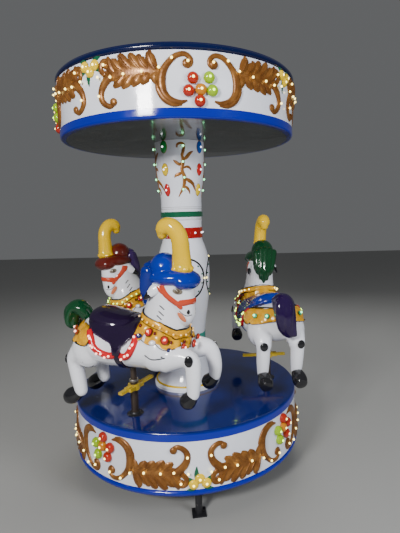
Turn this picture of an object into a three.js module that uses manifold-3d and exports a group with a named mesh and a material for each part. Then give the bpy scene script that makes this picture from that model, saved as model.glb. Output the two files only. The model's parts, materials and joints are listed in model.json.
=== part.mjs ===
// A three-horse kiddie carousel for a fairground or arcade, in millimetres, with +Z up.
// The whole drum, deck, column and canopy turn together on a four-legged steel chassis.
// Each horse stands on a post that slides up and down through a gland in the deck.
// The origin is on the floor under the middle of the machine's whole extent. The turning axis is
// a little beside it, because the horses reach out of the drum's rim on three sides only.
import * as THREE from "three";
import Module from "manifold-3d";
import { mergeVertices } from "three/addons/utils/BufferGeometryUtils.js";

const wasm = await Module();
wasm.setup();

// Driving dimensions. The canopy is the drum's own moulding turned upside down.
const SEAM = 0.3;
const AXIS_X = -19;
const AXIS_Y = -28;
const DRUM_BOTTOM = 115;
const DRUM_HEIGHT = 287;
const DECK_TOP = DRUM_BOTTOM + DRUM_HEIGHT;
const SOFFIT_Z = 1700;
const CANOPY_TOP = SOFFIT_Z + DRUM_HEIGHT;
const WIDE_R = 600;
const NARROW_R = 592;
const BEAD_H = 31;
const BAND_H = 40;
const SHELL_T = 5;
const DECK_T = 6;
const ROUND_SEGMENTS = 48;
const COLUMN_SEGMENTS = 24;
const TORSO_SIDES = 14;
const LIMB_SIDES = 10;

const LEG_CIRCLE_R = 545;
const LEG_ANGLES = [-80, 10, 100, 190];
const LEG_TUBE_R = 16;
const FOOT_PLATE = 62;
const FOOT_PLATE_T = 5;
const ARM_SIZE = 36;
const ARM_BOTTOM = 120;
const ARM_TOP = ARM_BOTTOM + ARM_SIZE;
const HUB_R = 80;
const HUB_TOP = 200;
const SPIGOT_R = 25;
const SPIGOT_TOP = 262;
const BEARING_GAP = 0.5;

const POST_CIRCLE_R = 450;
const HORSE_ANGLES = { front: -116.92, right: 3.08, back: 123.08 };
const HEADING_TURN = 8;
const LOWER_POST_R = 18;
const UPPER_POST_R = 14;
const POST_STEP = 163;
const POST_BOTTOM = 210 - DECK_TOP;
const POST_TOP = 300;
const GUIDE_R = 28;
const GUIDE_BOTTOM = 250;
const GLAND_R = 38;
const GLAND_H = 14;
const SLIDE_GAP = 0.6;
const TREAD_Z = 133;
const TREAD_LENGTH = 236;
const TREAD_SHIFT = 20;
const TREAD_TURN = -6;

// Colours seen on the machine.
const WHITE = { color: 0xe9eaee, roughness: 0.22, metalness: 0 };
const ROYAL_BLUE = { color: 0x0c3cc4, roughness: 0.2, metalness: 0 };
const DECK_BLUE = { color: 0x0d2f86, roughness: 0.12, metalness: 0 };
const DARK_BLUE = { color: 0x101c5e, roughness: 0.25, metalness: 0 };
const SOFFIT_GREY = { color: 0x8f958f, roughness: 0.15, metalness: 0 };
const BAND_RED = { color: 0xb01c1c, roughness: 0.25, metalness: 0 };
const BAND_GREEN = { color: 0x0f6b4a, roughness: 0.25, metalness: 0 };
const DARK_STEEL = { color: 0x2c2d30, roughness: 0.55, metalness: 0.6 };
const POST_STEEL = { color: 0x5a5048, roughness: 0.35, metalness: 0.8 };
const TREAD_YELLOW = { color: 0xd2b21a, roughness: 0.4, metalness: 0 };
const GOLD = { color: 0xd9981c, roughness: 0.3, metalness: 0.1 };
const PLUME_YELLOW = { color: 0xf0bb2b, roughness: 0.2, metalness: 0 };
const HORSE_TRIM = {
  front: { hat: 0x0b35ae, saddle: 0x241436, tail: 0x0d5a35 },
  right: { hat: 0x0c4a2c, saddle: 0x0d33a0, tail: 0x2a1650 },
  back: { hat: 0x5e1d18, saddle: 0x0d5a35, tail: 0x0b35ae },
};

const radians = THREE.MathUtils.degToRad;

// Solids

function toSolid(geometry) {
  const bare = geometry.clone();
  bare.deleteAttribute("normal");
  bare.deleteAttribute("uv");
  const merged = mergeVertices(bare, 1e-4);
  return new wasm.Manifold(
    new wasm.Mesh({
      numProp: 3,
      vertProperties: new Float32Array(merged.attributes.position.array),
      triVerts: new Uint32Array(merged.index.array),
    }),
  );
}

function toGeometry(solid) {
  const mesh = solid.getMesh();
  const geometry = new THREE.BufferGeometry();
  geometry.setAttribute("position", new THREE.BufferAttribute(new Float32Array(mesh.vertProperties), 3));
  geometry.setIndex(new THREE.BufferAttribute(new Uint32Array(mesh.triVerts), 1));
  geometry.computeVertexNormals();
  return geometry;
}

function union(solids) {
  return solids.reduce((sum, solid) => sum.add(solid));
}

function box(sizeX, sizeY, sizeZ, x, y, z) {
  return toSolid(new THREE.BoxGeometry(sizeX, sizeY, sizeZ).translate(x, y, z));
}

function rod(radius, bottom, top, x = 0, y = 0, segments = 16) {
  const geometry = new THREE.CylinderGeometry(radius, radius, top - bottom, segments);
  return toSolid(geometry.rotateX(Math.PI / 2).translate(x, y, (bottom + top) / 2));
}

function ellipsoid(centre, radii, segments = 12) {
  const geometry = new THREE.SphereGeometry(1, segments, Math.round(segments * 0.6));
  return toSolid(geometry.scale(...radii).translate(...centre));
}

// A closed profile of [radius, height] points turned about the Z axis.
function turned(points, segments = ROUND_SEGMENTS) {
  const profile = points.map(([radius, height]) => new THREE.Vector2(radius, height));
  profile.push(profile[0].clone());
  return new THREE.LatheGeometry(profile, segments).rotateX(Math.PI / 2);
}

// Points of a quarter circle for a rounded edge in a turned profile.
function arcPoints(centreR, centreZ, radius, fromDegrees, toDegrees, steps = 3) {
  const points = [];
  for (let i = 0; i <= steps; i += 1) {
    const angle = radians(fromDegrees + ((toDegrees - fromDegrees) * i) / steps);
    points.push([centreR + radius * Math.cos(angle), centreZ + radius * Math.sin(angle)]);
  }
  return points;
}

// A wall that follows an outer line of [radius, height] points, going up. Its inner side keeps
// one thickness at the points that are named, and runs straight between them.
function turnedShell(outer, thickness, segments = ROUND_SEGMENTS, named = outer.keys()) {
  const inner = [...named].map((i) => [outer[i][0] - thickness, outer[i][1]]).reverse();
  return turned([...outer, ...inner], segments);
}

// A smooth limb through oval sections. Each section is placed by its centre, and its two
// half sizes are measured in the horse's middle plane (a) and across it (b).
function limb(sections, grow = 0, sides = LIMB_SIDES) {
  const centres = sections.map((s) => new THREE.Vector3(s.u, s.v ?? 0, s.z));
  const last = sections.length - 1;
  const positions = [];
  const addCap = (centre) => positions.push(centre.x, centre.y, centre.z);
  const tangentAt = (i) => {
    const from = centres[Math.max(i - 1, 0)];
    const to = centres[Math.min(i + 1, last)];
    return to.clone().sub(from).normalize();
  };
  sections.forEach((section, i) => {
    const tangent = tangentAt(i);
    const across = new THREE.Vector3(0, 1, 0).addScaledVector(tangent, -tangent.y).normalize();
    const inPlane = across.clone().cross(tangent);
    const centre = centres[i].clone();
    if (i === 0) centre.addScaledVector(tangent, -grow);
    if (i === last) centre.addScaledVector(tangent, grow);
    for (let k = 0; k < sides; k += 1) {
      const angle = (2 * Math.PI * k) / sides;
      const point = centre.clone();
      point.addScaledVector(inPlane, (section.a + grow) * Math.cos(angle));
      point.addScaledVector(across, ((section.b ?? section.a) + grow) * Math.sin(angle));
      positions.push(point.x, point.y, point.z);
    }
  });
  addCap(centres[0].clone().addScaledVector(tangentAt(0), -grow));
  addCap(centres[last].clone().addScaledVector(tangentAt(last), grow));
  const faces = [];
  for (let i = 0; i < last; i += 1) {
    for (let k = 0; k < sides; k += 1) {
      const next = (k + 1) % sides;
      const a = i * sides + k;
      const b = i * sides + next;
      faces.push(a, b, b + sides, a, b + sides, a + sides);
    }
  }
  const startCap = (last + 1) * sides;
  for (let k = 0; k < sides; k += 1) {
    const next = (k + 1) % sides;
    faces.push(startCap, next, k);
    faces.push(startCap + 1, last * sides + k, last * sides + next);
  }
  const geometry = new THREE.BufferGeometry();
  geometry.setAttribute("position", new THREE.BufferAttribute(new Float32Array(positions), 3));
  geometry.setIndex(faces);
  return toSolid(geometry);
}

// A prism that cuts out one region of the horse's side view, right through its width.
function sidePrism(shape) {
  const geometry = new THREE.ExtrudeGeometry(shape, { depth: 600, bevelEnabled: false, curveSegments: 3 });
  return toSolid(geometry.rotateX(Math.PI / 2).translate(0, 300, 0));
}

function outline(points) {
  return new THREE.Shape(points.map(([u, z]) => new THREE.Vector2(u, z)));
}

// Horse, in its own frame: u forward, v to its left, z above the deck, post axis at the origin

const TORSO = [
  { u: -262, z: 392, a: 30, b: 36 },
  { u: -252, z: 390, a: 60, b: 80 },
  { u: -222, z: 380, a: 85, b: 118 },
  { u: -174, z: 366, a: 103, b: 144 },
  { u: -116, z: 355, a: 111, b: 154 },
  { u: -46, z: 346, a: 109, b: 152 },
  { u: 30, z: 345, a: 105, b: 148 },
  { u: 112, z: 346, a: 105, b: 146 },
  { u: 181, z: 348, a: 108, b: 138 },
  { u: 231, z: 352, a: 98, b: 118 },
  { u: 263, z: 355, a: 74, b: 90 },
  { u: 278, z: 354, a: 36, b: 46 },
];
const NECK = [
  { u: 174, v: 0, z: 390, a: 110, b: 110 },
  { u: 186, v: -8, z: 500, a: 94, b: 84 },
  { u: 200, v: -15, z: 550, a: 84, b: 78 },
  { u: 210, v: -22, z: 600, a: 80, b: 74 },
  { u: 216, v: -29, z: 650, a: 74, b: 66 },
  { u: 220, v: -34, z: 688, a: 54, b: 48 },
];
const HEAD = [
  { u: 216, v: -32, z: 672, a: 60, b: 50 },
  { u: 252, v: -23, z: 602, a: 78, b: 67 },
  { u: 266, v: -17, z: 562, a: 70, b: 58 },
  { u: 275, v: -13, z: 530, a: 58, b: 50 },
  { u: 279, v: -8, z: 500, a: 50, b: 46 },
  { u: 276, v: -4, z: 470, a: 39, b: 40 },
  { u: 272, v: -1, z: 448, a: 22, b: 22 },
];
const HIND_LEG = [
  { u: -156, v: 74, z: 346, a: 81, b: 74 },
  { u: -213, v: 83, z: 310, a: 57, b: 56 },
  { u: -250, v: 87, z: 274, a: 42, b: 41 },
  { u: -251, v: 88, z: 238, a: 36, b: 34 },
  { u: -241, v: 88, z: 177, a: 34, b: 32 },
  { u: -231, v: 88, z: 120, a: 29, b: 28 },
];
const HIND_HOOF = [
  { u: -240, v: 88, z: 112, a: 28, b: 28 },
  { u: -268, v: 88, z: 98, a: 38, b: 35 },
  { u: -312, v: 88, z: 75, a: 36, b: 35 },
];
const RIGHT_FORELEG = [
  { u: 214, v: -72, z: 315, a: 66, b: 60 },
  { u: 299, v: -78, z: 324, a: 45, b: 43 },
  { u: 340, v: -80, z: 305, a: 36, b: 34 },
  { u: 344, v: -80, z: 236, a: 33, b: 31 },
  { u: 339, v: -79, z: 160, a: 25, b: 24 },
];
const RIGHT_FORE_HOOF = [
  { u: 338, v: -79, z: 162, a: 27, b: 27 },
  { u: 322, v: -78, z: 144, a: 34, b: 33 },
  { u: 304, v: -77, z: 124, a: 33, b: 33 },
];
const LEFT_FORELEG = [
  { u: 230, v: 74, z: 312, a: 66, b: 60 },
  { u: 321, v: 86, z: 324, a: 45, b: 43 },
  { u: 358, v: 93, z: 305, a: 36, b: 34 },
  { u: 371, v: 98, z: 240, a: 33, b: 31 },
  { u: 367, v: 100, z: 182, a: 26, b: 25 },
];
const LEFT_FORE_HOOF = [
  { u: 366, v: 100, z: 184, a: 27, b: 27 },
  { u: 346, v: 102, z: 163, a: 34, b: 33 },
  { u: 325, v: 104, z: 148, a: 33, b: 33 },
];
const EAR = [
  { u: 193, v: 62, z: 619, a: 24, b: 14 },
  { u: 167, v: 76, z: 596, a: 17, b: 10 },
  { u: 139, v: 84, z: 574, a: 6, b: 5 },
];

const HEAD_LEAN = -23;

function leaned(sections) {
  return sections.map((section) => ({ ...section, v: section.v + HEAD_LEAN }));
}

function mirrored(sections) {
  return sections.map((section) => ({ ...section, v: -section.v }));
}

// The white moulding, and with grow above zero the same shape a little larger on every side.
function horseSolid(grow = 0) {
  const legs = [
    HIND_LEG, mirrored(HIND_LEG), HIND_HOOF, mirrored(HIND_HOOF),
    RIGHT_FORELEG, RIGHT_FORE_HOOF, LEFT_FORELEG, LEFT_FORE_HOOF,
  ].map((sections) => limb(sections, grow, 8));
  const ears = [leaned(EAR), leaned(mirrored(EAR))].map((sections) => limb(sections, grow, 6));
  return union([limb(TORSO, grow, TORSO_SIDES), limb(NECK, grow), limb(HEAD, grow), ...legs, ...ears]);
}

const HORSE_CLEAR = horseSolid(0.5);

function horseBody() {
  return horseSolid().subtract(rod(UPPER_POST_R + 0.4, 100, POST_TOP + 0.4));
}

const HAT_MANE = [
  { u: 150, v: -34, z: 680, a: 60, b: 64 },
  { u: 130, v: -28, z: 622, a: 45, b: 58 },
  { u: 112, v: -24, z: 572, a: 32, b: 44 },
  { u: 98, v: -26, z: 528, a: 18, b: 26 },
];

const HAT_BRIM = [[240, -31, 664], [112, 88, 48]];
const HAT_CROWN = [[206, -36, 694], [68, 68, 70]];
const HAT_PEAK = [[308, -29, 645], [58, 80, 46]];

function hatWithMane() {
  const brim = ellipsoid(...HAT_BRIM);
  const crown = ellipsoid(...HAT_CROWN, 10);
  const peak = ellipsoid(...HAT_PEAK, 10);
  return union([brim, crown, peak, limb(HAT_MANE)]).subtract(HORSE_CLEAR);
}

const PLUME = [
  { u: 290, v: -40, z: 694, a: 48, b: 44 },
  { u: 291, v: -43, z: 735, a: 41, b: 38 },
  { u: 291, v: -46, z: 775, a: 37, b: 36 },
  { u: 290, v: -49, z: 812, a: 37, b: 36 },
  { u: 280, v: -52, z: 846, a: 37, b: 36 },
  { u: 256, v: -54, z: 872, a: 37, b: 36 },
  { u: 230, v: -54, z: 874, a: 37, b: 36 },
  { u: 216, v: -53, z: 858, a: 34, b: 33 },
  { u: 212, v: -52, z: 840, a: 25, b: 24 },
];

function plume(hat) {
  const seat = union([HAT_BRIM, HAT_CROWN, HAT_PEAK].map(([centre, radii]) => {
    return ellipsoid(centre, radii.map((radius) => radius + 0.5));
  }));
  return limb(PLUME, 0, 8).subtract(seat).subtract(HORSE_CLEAR).subtract(hat);
}

const SEAT = [
  { u: -173, z: 463, a: 24, b: 60 },
  { u: -164, z: 464, a: 41, b: 90 },
  { u: -136, z: 463, a: 44, b: 104 },
  { u: -79, z: 450, a: 45, b: 108 },
  { u: -22, z: 440, a: 45, b: 98 },
  { u: 25, z: 436, a: 46, b: 76 },
  { u: 48, z: 440, a: 36, b: 52 },
  { u: 57, z: 442, a: 20, b: 28 },
];
const FLAP = [
  [-175, 530], [-175, 460], [-113, 423], [-45, 396], [-6, 382], [1, 374],
  [35, 372], [45, 379], [78, 401], [87, 425], [77, 454], [30, 470], [30, 530],
];
const CINCH = [[-11, 150], [26, 150], [36, 380], [2, 382]];
const RUMP_BAND = [[-320, 444], [-142, 430], [-116, 388], [-150, 358], [-227, 376], [-320, 388]];
const GARLAND = [
  [-127, 419], [-100, 375], [-60, 341], [-10, 325], [45, 319], [88, 348], [84, 406],
];
const GARLAND_WIDTH = 26;

// The outline of a strap of one width along a line of points.
function strapOutline(points, width) {
  const line = points.map(([u, z]) => new THREE.Vector2(u, z));
  const edge = (side) => line.map((point, i) => {
    const along = line[Math.min(i + 1, line.length - 1)].clone().sub(line[Math.max(i - 1, 0)]).normalize();
    return point.clone().add(new THREE.Vector2(-along.y, along.x).multiplyScalar((side * width) / 2));
  });
  return new THREE.Shape([...edge(1), ...edge(-1).reverse()]);
}

function saddle() {
  const skin = limb(TORSO, 16, TORSO_SIDES);
  const flaps = skin.intersect(sidePrism(outline(FLAP)));
  const cinch = limb(TORSO, 7, TORSO_SIDES).intersect(sidePrism(outline(CINCH)));
  const rumpBand = limb(TORSO, 18, TORSO_SIDES).intersect(sidePrism(outline(RUMP_BAND))).subtract(limb(TAIL, 0.5));
  const garlands = limb(TORSO, 8, TORSO_SIDES).intersect(sidePrism(strapOutline(GARLAND, GARLAND_WIDTH)));
  const postHole = rod(UPPER_POST_R + 12, 100, POST_TOP + 40);
  return union([limb(SEAT), flaps, cinch, rumpBand, garlands]).subtract(HORSE_CLEAR).subtract(postHole);
}

// The collar's upper edge falls from the withers to the chest, and its lower edge is a row of
// scallops, each given by its middle control point and its end.
const COLLAR_TOP = [[62, 520], [100, 503], [208, 470], [265, 433], [330, 415]];
const COLLAR_REAR = [80, 425];
const COLLAR_SCALLOPS = [
  [[95, 385], [128, 402]],
  [[166, 374], [199, 388]],
  [[240, 344], [270, 368]],
  [[300, 319], [330, 345]],
];

function collarShape() {
  const shape = new THREE.Shape();
  shape.moveTo(...COLLAR_REAR);
  COLLAR_SCALLOPS.forEach(([middle, end]) => shape.quadraticCurveTo(...middle, ...end));
  COLLAR_TOP.toReversed().forEach((point) => shape.lineTo(...point));
  shape.closePath();
  return shape;
}

// The flap's outline, a little larger about its middle, which keeps the collar clear of it.
const FLAP_MIDDLE = [-44, 430];
const FLAP_CLEARANCE = FLAP.map((point) => point.map((value, axis) => {
  return FLAP_MIDDLE[axis] + (value - FLAP_MIDDLE[axis]) * 1.006;
}));
const GARLAND_CLEARANCE = strapOutline(GARLAND, GARLAND_WIDTH + 0.8);

function collar(hat) {
  const skin = union([limb(TORSO, 9, TORSO_SIDES), limb(NECK, 9)]);
  const harness = union([sidePrism(outline(FLAP_CLEARANCE)), sidePrism(GARLAND_CLEARANCE)]);
  return skin.intersect(sidePrism(collarShape())).subtract(harness).subtract(HORSE_CLEAR).subtract(hat);
}

const TAIL = [
  { u: -230, z: 439, a: 28, b: 30 },
  { u: -254, z: 477, a: 36, b: 42 },
  { u: -281, z: 497, a: 39, b: 50 },
  { u: -310, z: 489, a: 41, b: 54 },
  { u: -325, z: 447, a: 39, b: 54 },
  { u: -327, v: -4, z: 400, a: 35, b: 52 },
  { u: -321, v: -16, z: 359, a: 30, b: 44 },
  { u: -318, v: -36, z: 334, a: 22, b: 30 },
  { u: -316, v: -56, z: 324, a: 12, b: 14 },
];

// The front horse's tail was cast shorter than the others and ends in a round bob over the rump.
const BOB_TAIL = [...TAIL.slice(0, 5), { u: -323, z: 418, a: 34, b: 48 }, { u: -314, z: 397, a: 22, b: 32 }];

function tail(sections) {
  return limb(sections).subtract(HORSE_CLEAR);
}

// The pieces of one horse that ride on its sliding post.

function post() {
  const profile = [
    [0, POST_BOTTOM], [LOWER_POST_R, POST_BOTTOM], [LOWER_POST_R, POST_STEP - 10],
    [LOWER_POST_R + 3, POST_STEP - 10], [LOWER_POST_R + 3, POST_STEP],
    [UPPER_POST_R, POST_STEP], [UPPER_POST_R, POST_TOP], [0, POST_TOP],
  ];
  const points = profile.map(([radius, height]) => new THREE.Vector2(radius, height));
  return new THREE.LatheGeometry(points, 16).rotateX(Math.PI / 2);
}

function footrest() {
  const bar = box(22, TREAD_LENGTH, 12, 0, TREAD_SHIFT, TREAD_Z);
  const pad = box(40, 96, 16, 4, -4, TREAD_Z);
  const boss = rod(28, TREAD_Z - 13, TREAD_Z + 13);
  const tread = union([bar, pad, boss]).rotate([0, 0, TREAD_TURN]);
  return tread.subtract(rod(LOWER_POST_R + SEAM, 100, 200));
}

// Static chassis

function leg() {
  const tube = rod(LEG_TUBE_R, FOOT_PLATE_T - 1, ARM_BOTTOM - SEAM, 0, 0, 20);
  const plate = box(FOOT_PLATE, FOOT_PLATE, FOOT_PLATE_T, 0, 0, FOOT_PLATE_T / 2);
  return union([tube, plate]);
}

function chassis() {
  const reach = LEG_CIRCLE_R + ARM_SIZE / 2;
  const cross = LEG_ANGLES.map((angle) => {
    const arm = new THREE.BoxGeometry(reach, ARM_SIZE, ARM_SIZE).translate(reach / 2, 0, ARM_BOTTOM + ARM_SIZE / 2);
    return toSolid(arm.rotateZ(radians(angle)));
  });
  const hub = rod(HUB_R, ARM_BOTTOM, HUB_TOP, 0, 0, 40);
  const spigot = rod(SPIGOT_R, HUB_TOP - 1, SPIGOT_TOP);
  return union([hub, spigot, ...cross]);
}

// Turntable

const FRAME_TOP = DECK_TOP - DECK_T - SEAM;
const FRAME_BOTTOM = FRAME_TOP - 40;

function turntableFrame() {
  const arms = Object.values(HORSE_ANGLES).map((angle) => {
    const beam = new THREE.BoxGeometry(POST_CIRCLE_R, 40, 40);
    const placed = beam.translate(POST_CIRCLE_R / 2, 0, FRAME_TOP - 20).rotateZ(radians(angle));
    return toSolid(placed);
  });
  const spots = Object.values(HORSE_ANGLES).map((angle) => [
    POST_CIRCLE_R * Math.cos(radians(angle)),
    POST_CIRCLE_R * Math.sin(radians(angle)),
  ]);
  const sleeves = spots.map(([x, y]) => rod(GUIDE_R, GUIDE_BOTTOM, FRAME_TOP, x, y));
  const bores = spots.map(([x, y]) => rod(LOWER_POST_R + SLIDE_GAP, GUIDE_BOTTOM - 5, FRAME_TOP + 5, x, y));
  const boss = rod(70, HUB_TOP + BEARING_GAP, FRAME_TOP, 0, 0, 40);
  const socket = rod(SPIGOT_R + BEARING_GAP, HUB_TOP - 5, SPIGOT_TOP + BEARING_GAP);
  return union([boss, ...arms, ...sleeves]).subtract(union([socket, ...bores]));
}

function wallRadius(heightFromWideEnd) {
  return WIDE_R - 4 - ((WIDE_R - NARROW_R) * heightFromWideEnd) / DRUM_HEIGHT;
}

// A blue rolled edge in a half-round section, along the drum's wide end.
function bead(bottom) {
  const top = bottom + BEAD_H;
  const inner = WIDE_R - 14;
  const nose = arcPoints(WIDE_R - 12, bottom + BEAD_H / 2, 12, -68, 68, 4);
  return turned([[inner, bottom], [WIDE_R - 10, bottom], ...nose, [WIDE_R - 10, top], [inner, top]]);
}

function drumWall() {
  const low = DRUM_BOTTOM + BEAD_H + SEAM;
  const high = DECK_TOP - BAND_H - SEAM;
  return turnedShell([[wallRadius(BEAD_H), low], [wallRadius(DRUM_HEIGHT - BAND_H), high]], SHELL_T);
}

function canopyWall() {
  const low = SOFFIT_Z + BAND_H + SEAM;
  const high = CANOPY_TOP - BEAD_H - SEAM;
  return turnedShell([[wallRadius(DRUM_HEIGHT - BAND_H), low], [wallRadius(BEAD_H), high]], SHELL_T);
}

function deck() {
  const skirtBottom = DECK_TOP - BAND_H;
  const edge = arcPoints(NARROW_R - 12, DECK_TOP - 12, 12, 0, 90, 2);
  const profile = [
    [0, DECK_TOP - DECK_T], [NARROW_R - DECK_T - 8, DECK_TOP - DECK_T],
    [NARROW_R - DECK_T, DECK_TOP - DECK_T - 8], [NARROW_R - DECK_T, skirtBottom],
    [NARROW_R, skirtBottom], ...edge, [0, DECK_TOP],
  ];
  const points = profile.map(([radius, height]) => new THREE.Vector2(radius, height));
  const plate = toSolid(new THREE.LatheGeometry(points, ROUND_SEGMENTS).rotateX(Math.PI / 2));
  const holes = Object.values(HORSE_ANGLES).map((angle) => {
    const x = POST_CIRCLE_R * Math.cos(radians(angle));
    const y = POST_CIRCLE_R * Math.sin(radians(angle));
    return rod(LOWER_POST_R + SLIDE_GAP, DECK_TOP - 30, DECK_TOP + 10, x, y);
  });
  return plate.subtract(union(holes));
}

function gland() {
  const bore = LOWER_POST_R + SLIDE_GAP;
  return turned(
    [[bore, SEAM], [GLAND_R, SEAM], [GLAND_R, 6], [GLAND_R - 10, 7], [GLAND_R - 13, GLAND_H], [bore, GLAND_H]],
    16,
  );
}

function canopyBand() {
  const top = SOFFIT_Z + BAND_H;
  const edge = arcPoints(NARROW_R - 12, SOFFIT_Z + 12, 12, -90, 0, 2);
  return turned([
    [NARROW_R - 26, SOFFIT_Z], ...edge, [NARROW_R, top],
    [NARROW_R - DECK_T, top], [NARROW_R - DECK_T, SOFFIT_Z + 14],
    [NARROW_R - DECK_T - 8, SOFFIT_Z + DECK_T], [NARROW_R - 26, SOFFIT_Z + DECK_T],
  ]);
}

function canopySoffit() {
  const geometry = new THREE.CylinderGeometry(NARROW_R - 26 - SEAM, NARROW_R - 26 - SEAM, DECK_T, ROUND_SEGMENTS);
  return geometry.rotateX(Math.PI / 2).translate(0, 0, SOFFIT_Z + DECK_T / 2);
}

function canopyLid() {
  const bottom = CANOPY_TOP - BEAD_H;
  const nose = arcPoints(WIDE_R - 12, bottom + BEAD_H / 2, 12, -68, 68, 4);
  const profile = [
    [0, CANOPY_TOP - SHELL_T], [WIDE_R - 14, CANOPY_TOP - SHELL_T], [WIDE_R - 14, bottom],
    [WIDE_R - 10, bottom], ...nose, [WIDE_R - 10, CANOPY_TOP], [0, CANOPY_TOP],
  ];
  const points = profile.map(([radius, height]) => new THREE.Vector2(radius, height));
  return new THREE.LatheGeometry(points, ROUND_SEGMENTS).rotateX(Math.PI / 2);
}

// Column, a fibreglass shell in stacked mouldings

const COLUMN_T = 6;
const FOOT_TOP = 642;
const GREEN_BAND = [1313, 1340];
const RED_BAND = [1201, 1257];
const FOOT_LINE = [
  [181, DECK_TOP + SEAM], [181, DECK_TOP + 14], [168, DECK_TOP + 26], [150, DECK_TOP + 54],
  [130, DECK_TOP + 100], [113, DECK_TOP + 160], [103, FOOT_TOP - 12], [100, FOOT_TOP - SEAM],
];
const SHAFT_LINE = [
  [105, FOOT_TOP], [105, 686], [117, 765], [128, 840], [137, 930], [141, 1012], [138, 1070],
  [130, 1118], [116, 1165], [108, 1190], [105, RED_BAND[0]], [107, GREEN_BAND[0] - SEAM],
];
const HEAD_LINE = [
  [108, GREEN_BAND[1] + SEAM], [108, 1410], [112, 1452], [121, 1505], [127, 1575],
  [129, 1660], [131, SOFFIT_Z - SEAM],
];
const FOOT_INNER = [0, 1, 3, 5, 7];
const SHAFT_INNER = [0, 1, 3, 5, 6, 8, 9, 11];
const HEAD_INNER = [0, 1, 3, 4, 6];

function redBand() {
  const inner = 105 + SEAM;
  const line = [[inner + 4, RED_BAND[0]], [inner + 4, RED_BAND[1]], [inner + 1.4, RED_BAND[1]], [inner, RED_BAND[0]]];
  return turned(line, COLUMN_SEGMENTS);
}

function greenBand() {
  const line = [[111, GREEN_BAND[0]], [113, GREEN_BAND[0] + 5], [113, GREEN_BAND[1] - 5], [111, GREEN_BAND[1]]];
  return turnedShell(line, 9, COLUMN_SEGMENTS);
}

// Scene graph

const carousel = new THREE.Group();
const machine = new THREE.Group();
machine.position.set(AXIS_X, AXIS_Y, 0);
carousel.add(machine);

function addMesh(parent, name, shape, look) {
  const geometry = shape.isBufferGeometry ? shape : toGeometry(shape);
  const mesh = new THREE.Mesh(geometry, new THREE.MeshStandardMaterial(look));
  mesh.name = name;
  parent.add(mesh);
  return mesh;
}

function colourLook(color) {
  return { color, roughness: 0.22, metalness: 0 };
}

LEG_ANGLES.forEach((angle, index) => {
  const mesh = addMesh(machine, `leg_${index + 1}`, leg(), DARK_STEEL);
  mesh.position.set(LEG_CIRCLE_R * Math.cos(radians(angle)), LEG_CIRCLE_R * Math.sin(radians(angle)), 0);
  mesh.rotation.z = radians(angle);
});
addMesh(machine, "chassis", chassis(), DARK_STEEL);

addMesh(machine, "turntable_frame", turntableFrame(), DARK_STEEL);
addMesh(machine, "drum_bead", bead(DRUM_BOTTOM), ROYAL_BLUE);
addMesh(machine, "drum_wall", drumWall(), WHITE);
addMesh(machine, "deck", deck(), DECK_BLUE);
addMesh(machine, "column_foot", turnedShell(FOOT_LINE, COLUMN_T, COLUMN_SEGMENTS, FOOT_INNER), WHITE);
addMesh(machine, "column_shaft", turnedShell(SHAFT_LINE, COLUMN_T, COLUMN_SEGMENTS, SHAFT_INNER), WHITE);
addMesh(machine, "column_red_band", redBand(), BAND_RED);
addMesh(machine, "column_green_band", greenBand(), BAND_GREEN);
addMesh(machine, "column_head", turnedShell(HEAD_LINE, COLUMN_T, COLUMN_SEGMENTS, HEAD_INNER), WHITE);
addMesh(machine, "canopy_soffit", canopySoffit(), SOFFIT_GREY);
addMesh(machine, "canopy_band", canopyBand(), ROYAL_BLUE);
addMesh(machine, "canopy_wall", canopyWall(), WHITE);
addMesh(machine, "canopy_lid", canopyLid(), DARK_BLUE);

const bodySolid = horseBody();
const hatSolid = hatWithMane();
const plumeSolid = plume(hatSolid);
const saddleSolid = saddle();
const collarSolid = collar(hatSolid).subtract(limb(SEAT, 0.5));
const longTailSolid = tail(TAIL);
const bobTailSolid = tail(BOB_TAIL);

for (const [place, angle] of Object.entries(HORSE_ANGLES)) {
  const trim = HORSE_TRIM[place];
  const horse = new THREE.Group();
  horse.position.set(POST_CIRCLE_R * Math.cos(radians(angle)), POST_CIRCLE_R * Math.sin(radians(angle)), DECK_TOP);
  horse.rotation.z = radians(angle + 90 + HEADING_TURN);
  addMesh(horse, `${place}_gland`, gland(), DARK_STEEL);
  addMesh(horse, `${place}_post`, post(), POST_STEEL);
  addMesh(horse, `${place}_footrest`, footrest(), TREAD_YELLOW);
  addMesh(horse, `${place}_horse`, bodySolid, WHITE);
  addMesh(horse, `${place}_hat`, hatSolid, colourLook(trim.hat));
  addMesh(horse, `${place}_plume`, plumeSolid, PLUME_YELLOW);
  addMesh(horse, `${place}_saddle`, saddleSolid, colourLook(trim.saddle));
  addMesh(horse, `${place}_collar`, collarSolid, GOLD);
  addMesh(horse, `${place}_tail`, place === "front" ? bobTailSolid : longTailSolid, colourLook(trim.tail));
  machine.add(horse);
}

export default carousel;
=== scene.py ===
"""The looks of a three-horse kiddie carousel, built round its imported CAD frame. Sizes in metres."""

import json
from math import atan2, cos, pi, radians, sin

import bmesh
import bpy
from mathutils import Matrix, Vector
from mathutils.bvhtree import BVHTree

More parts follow.
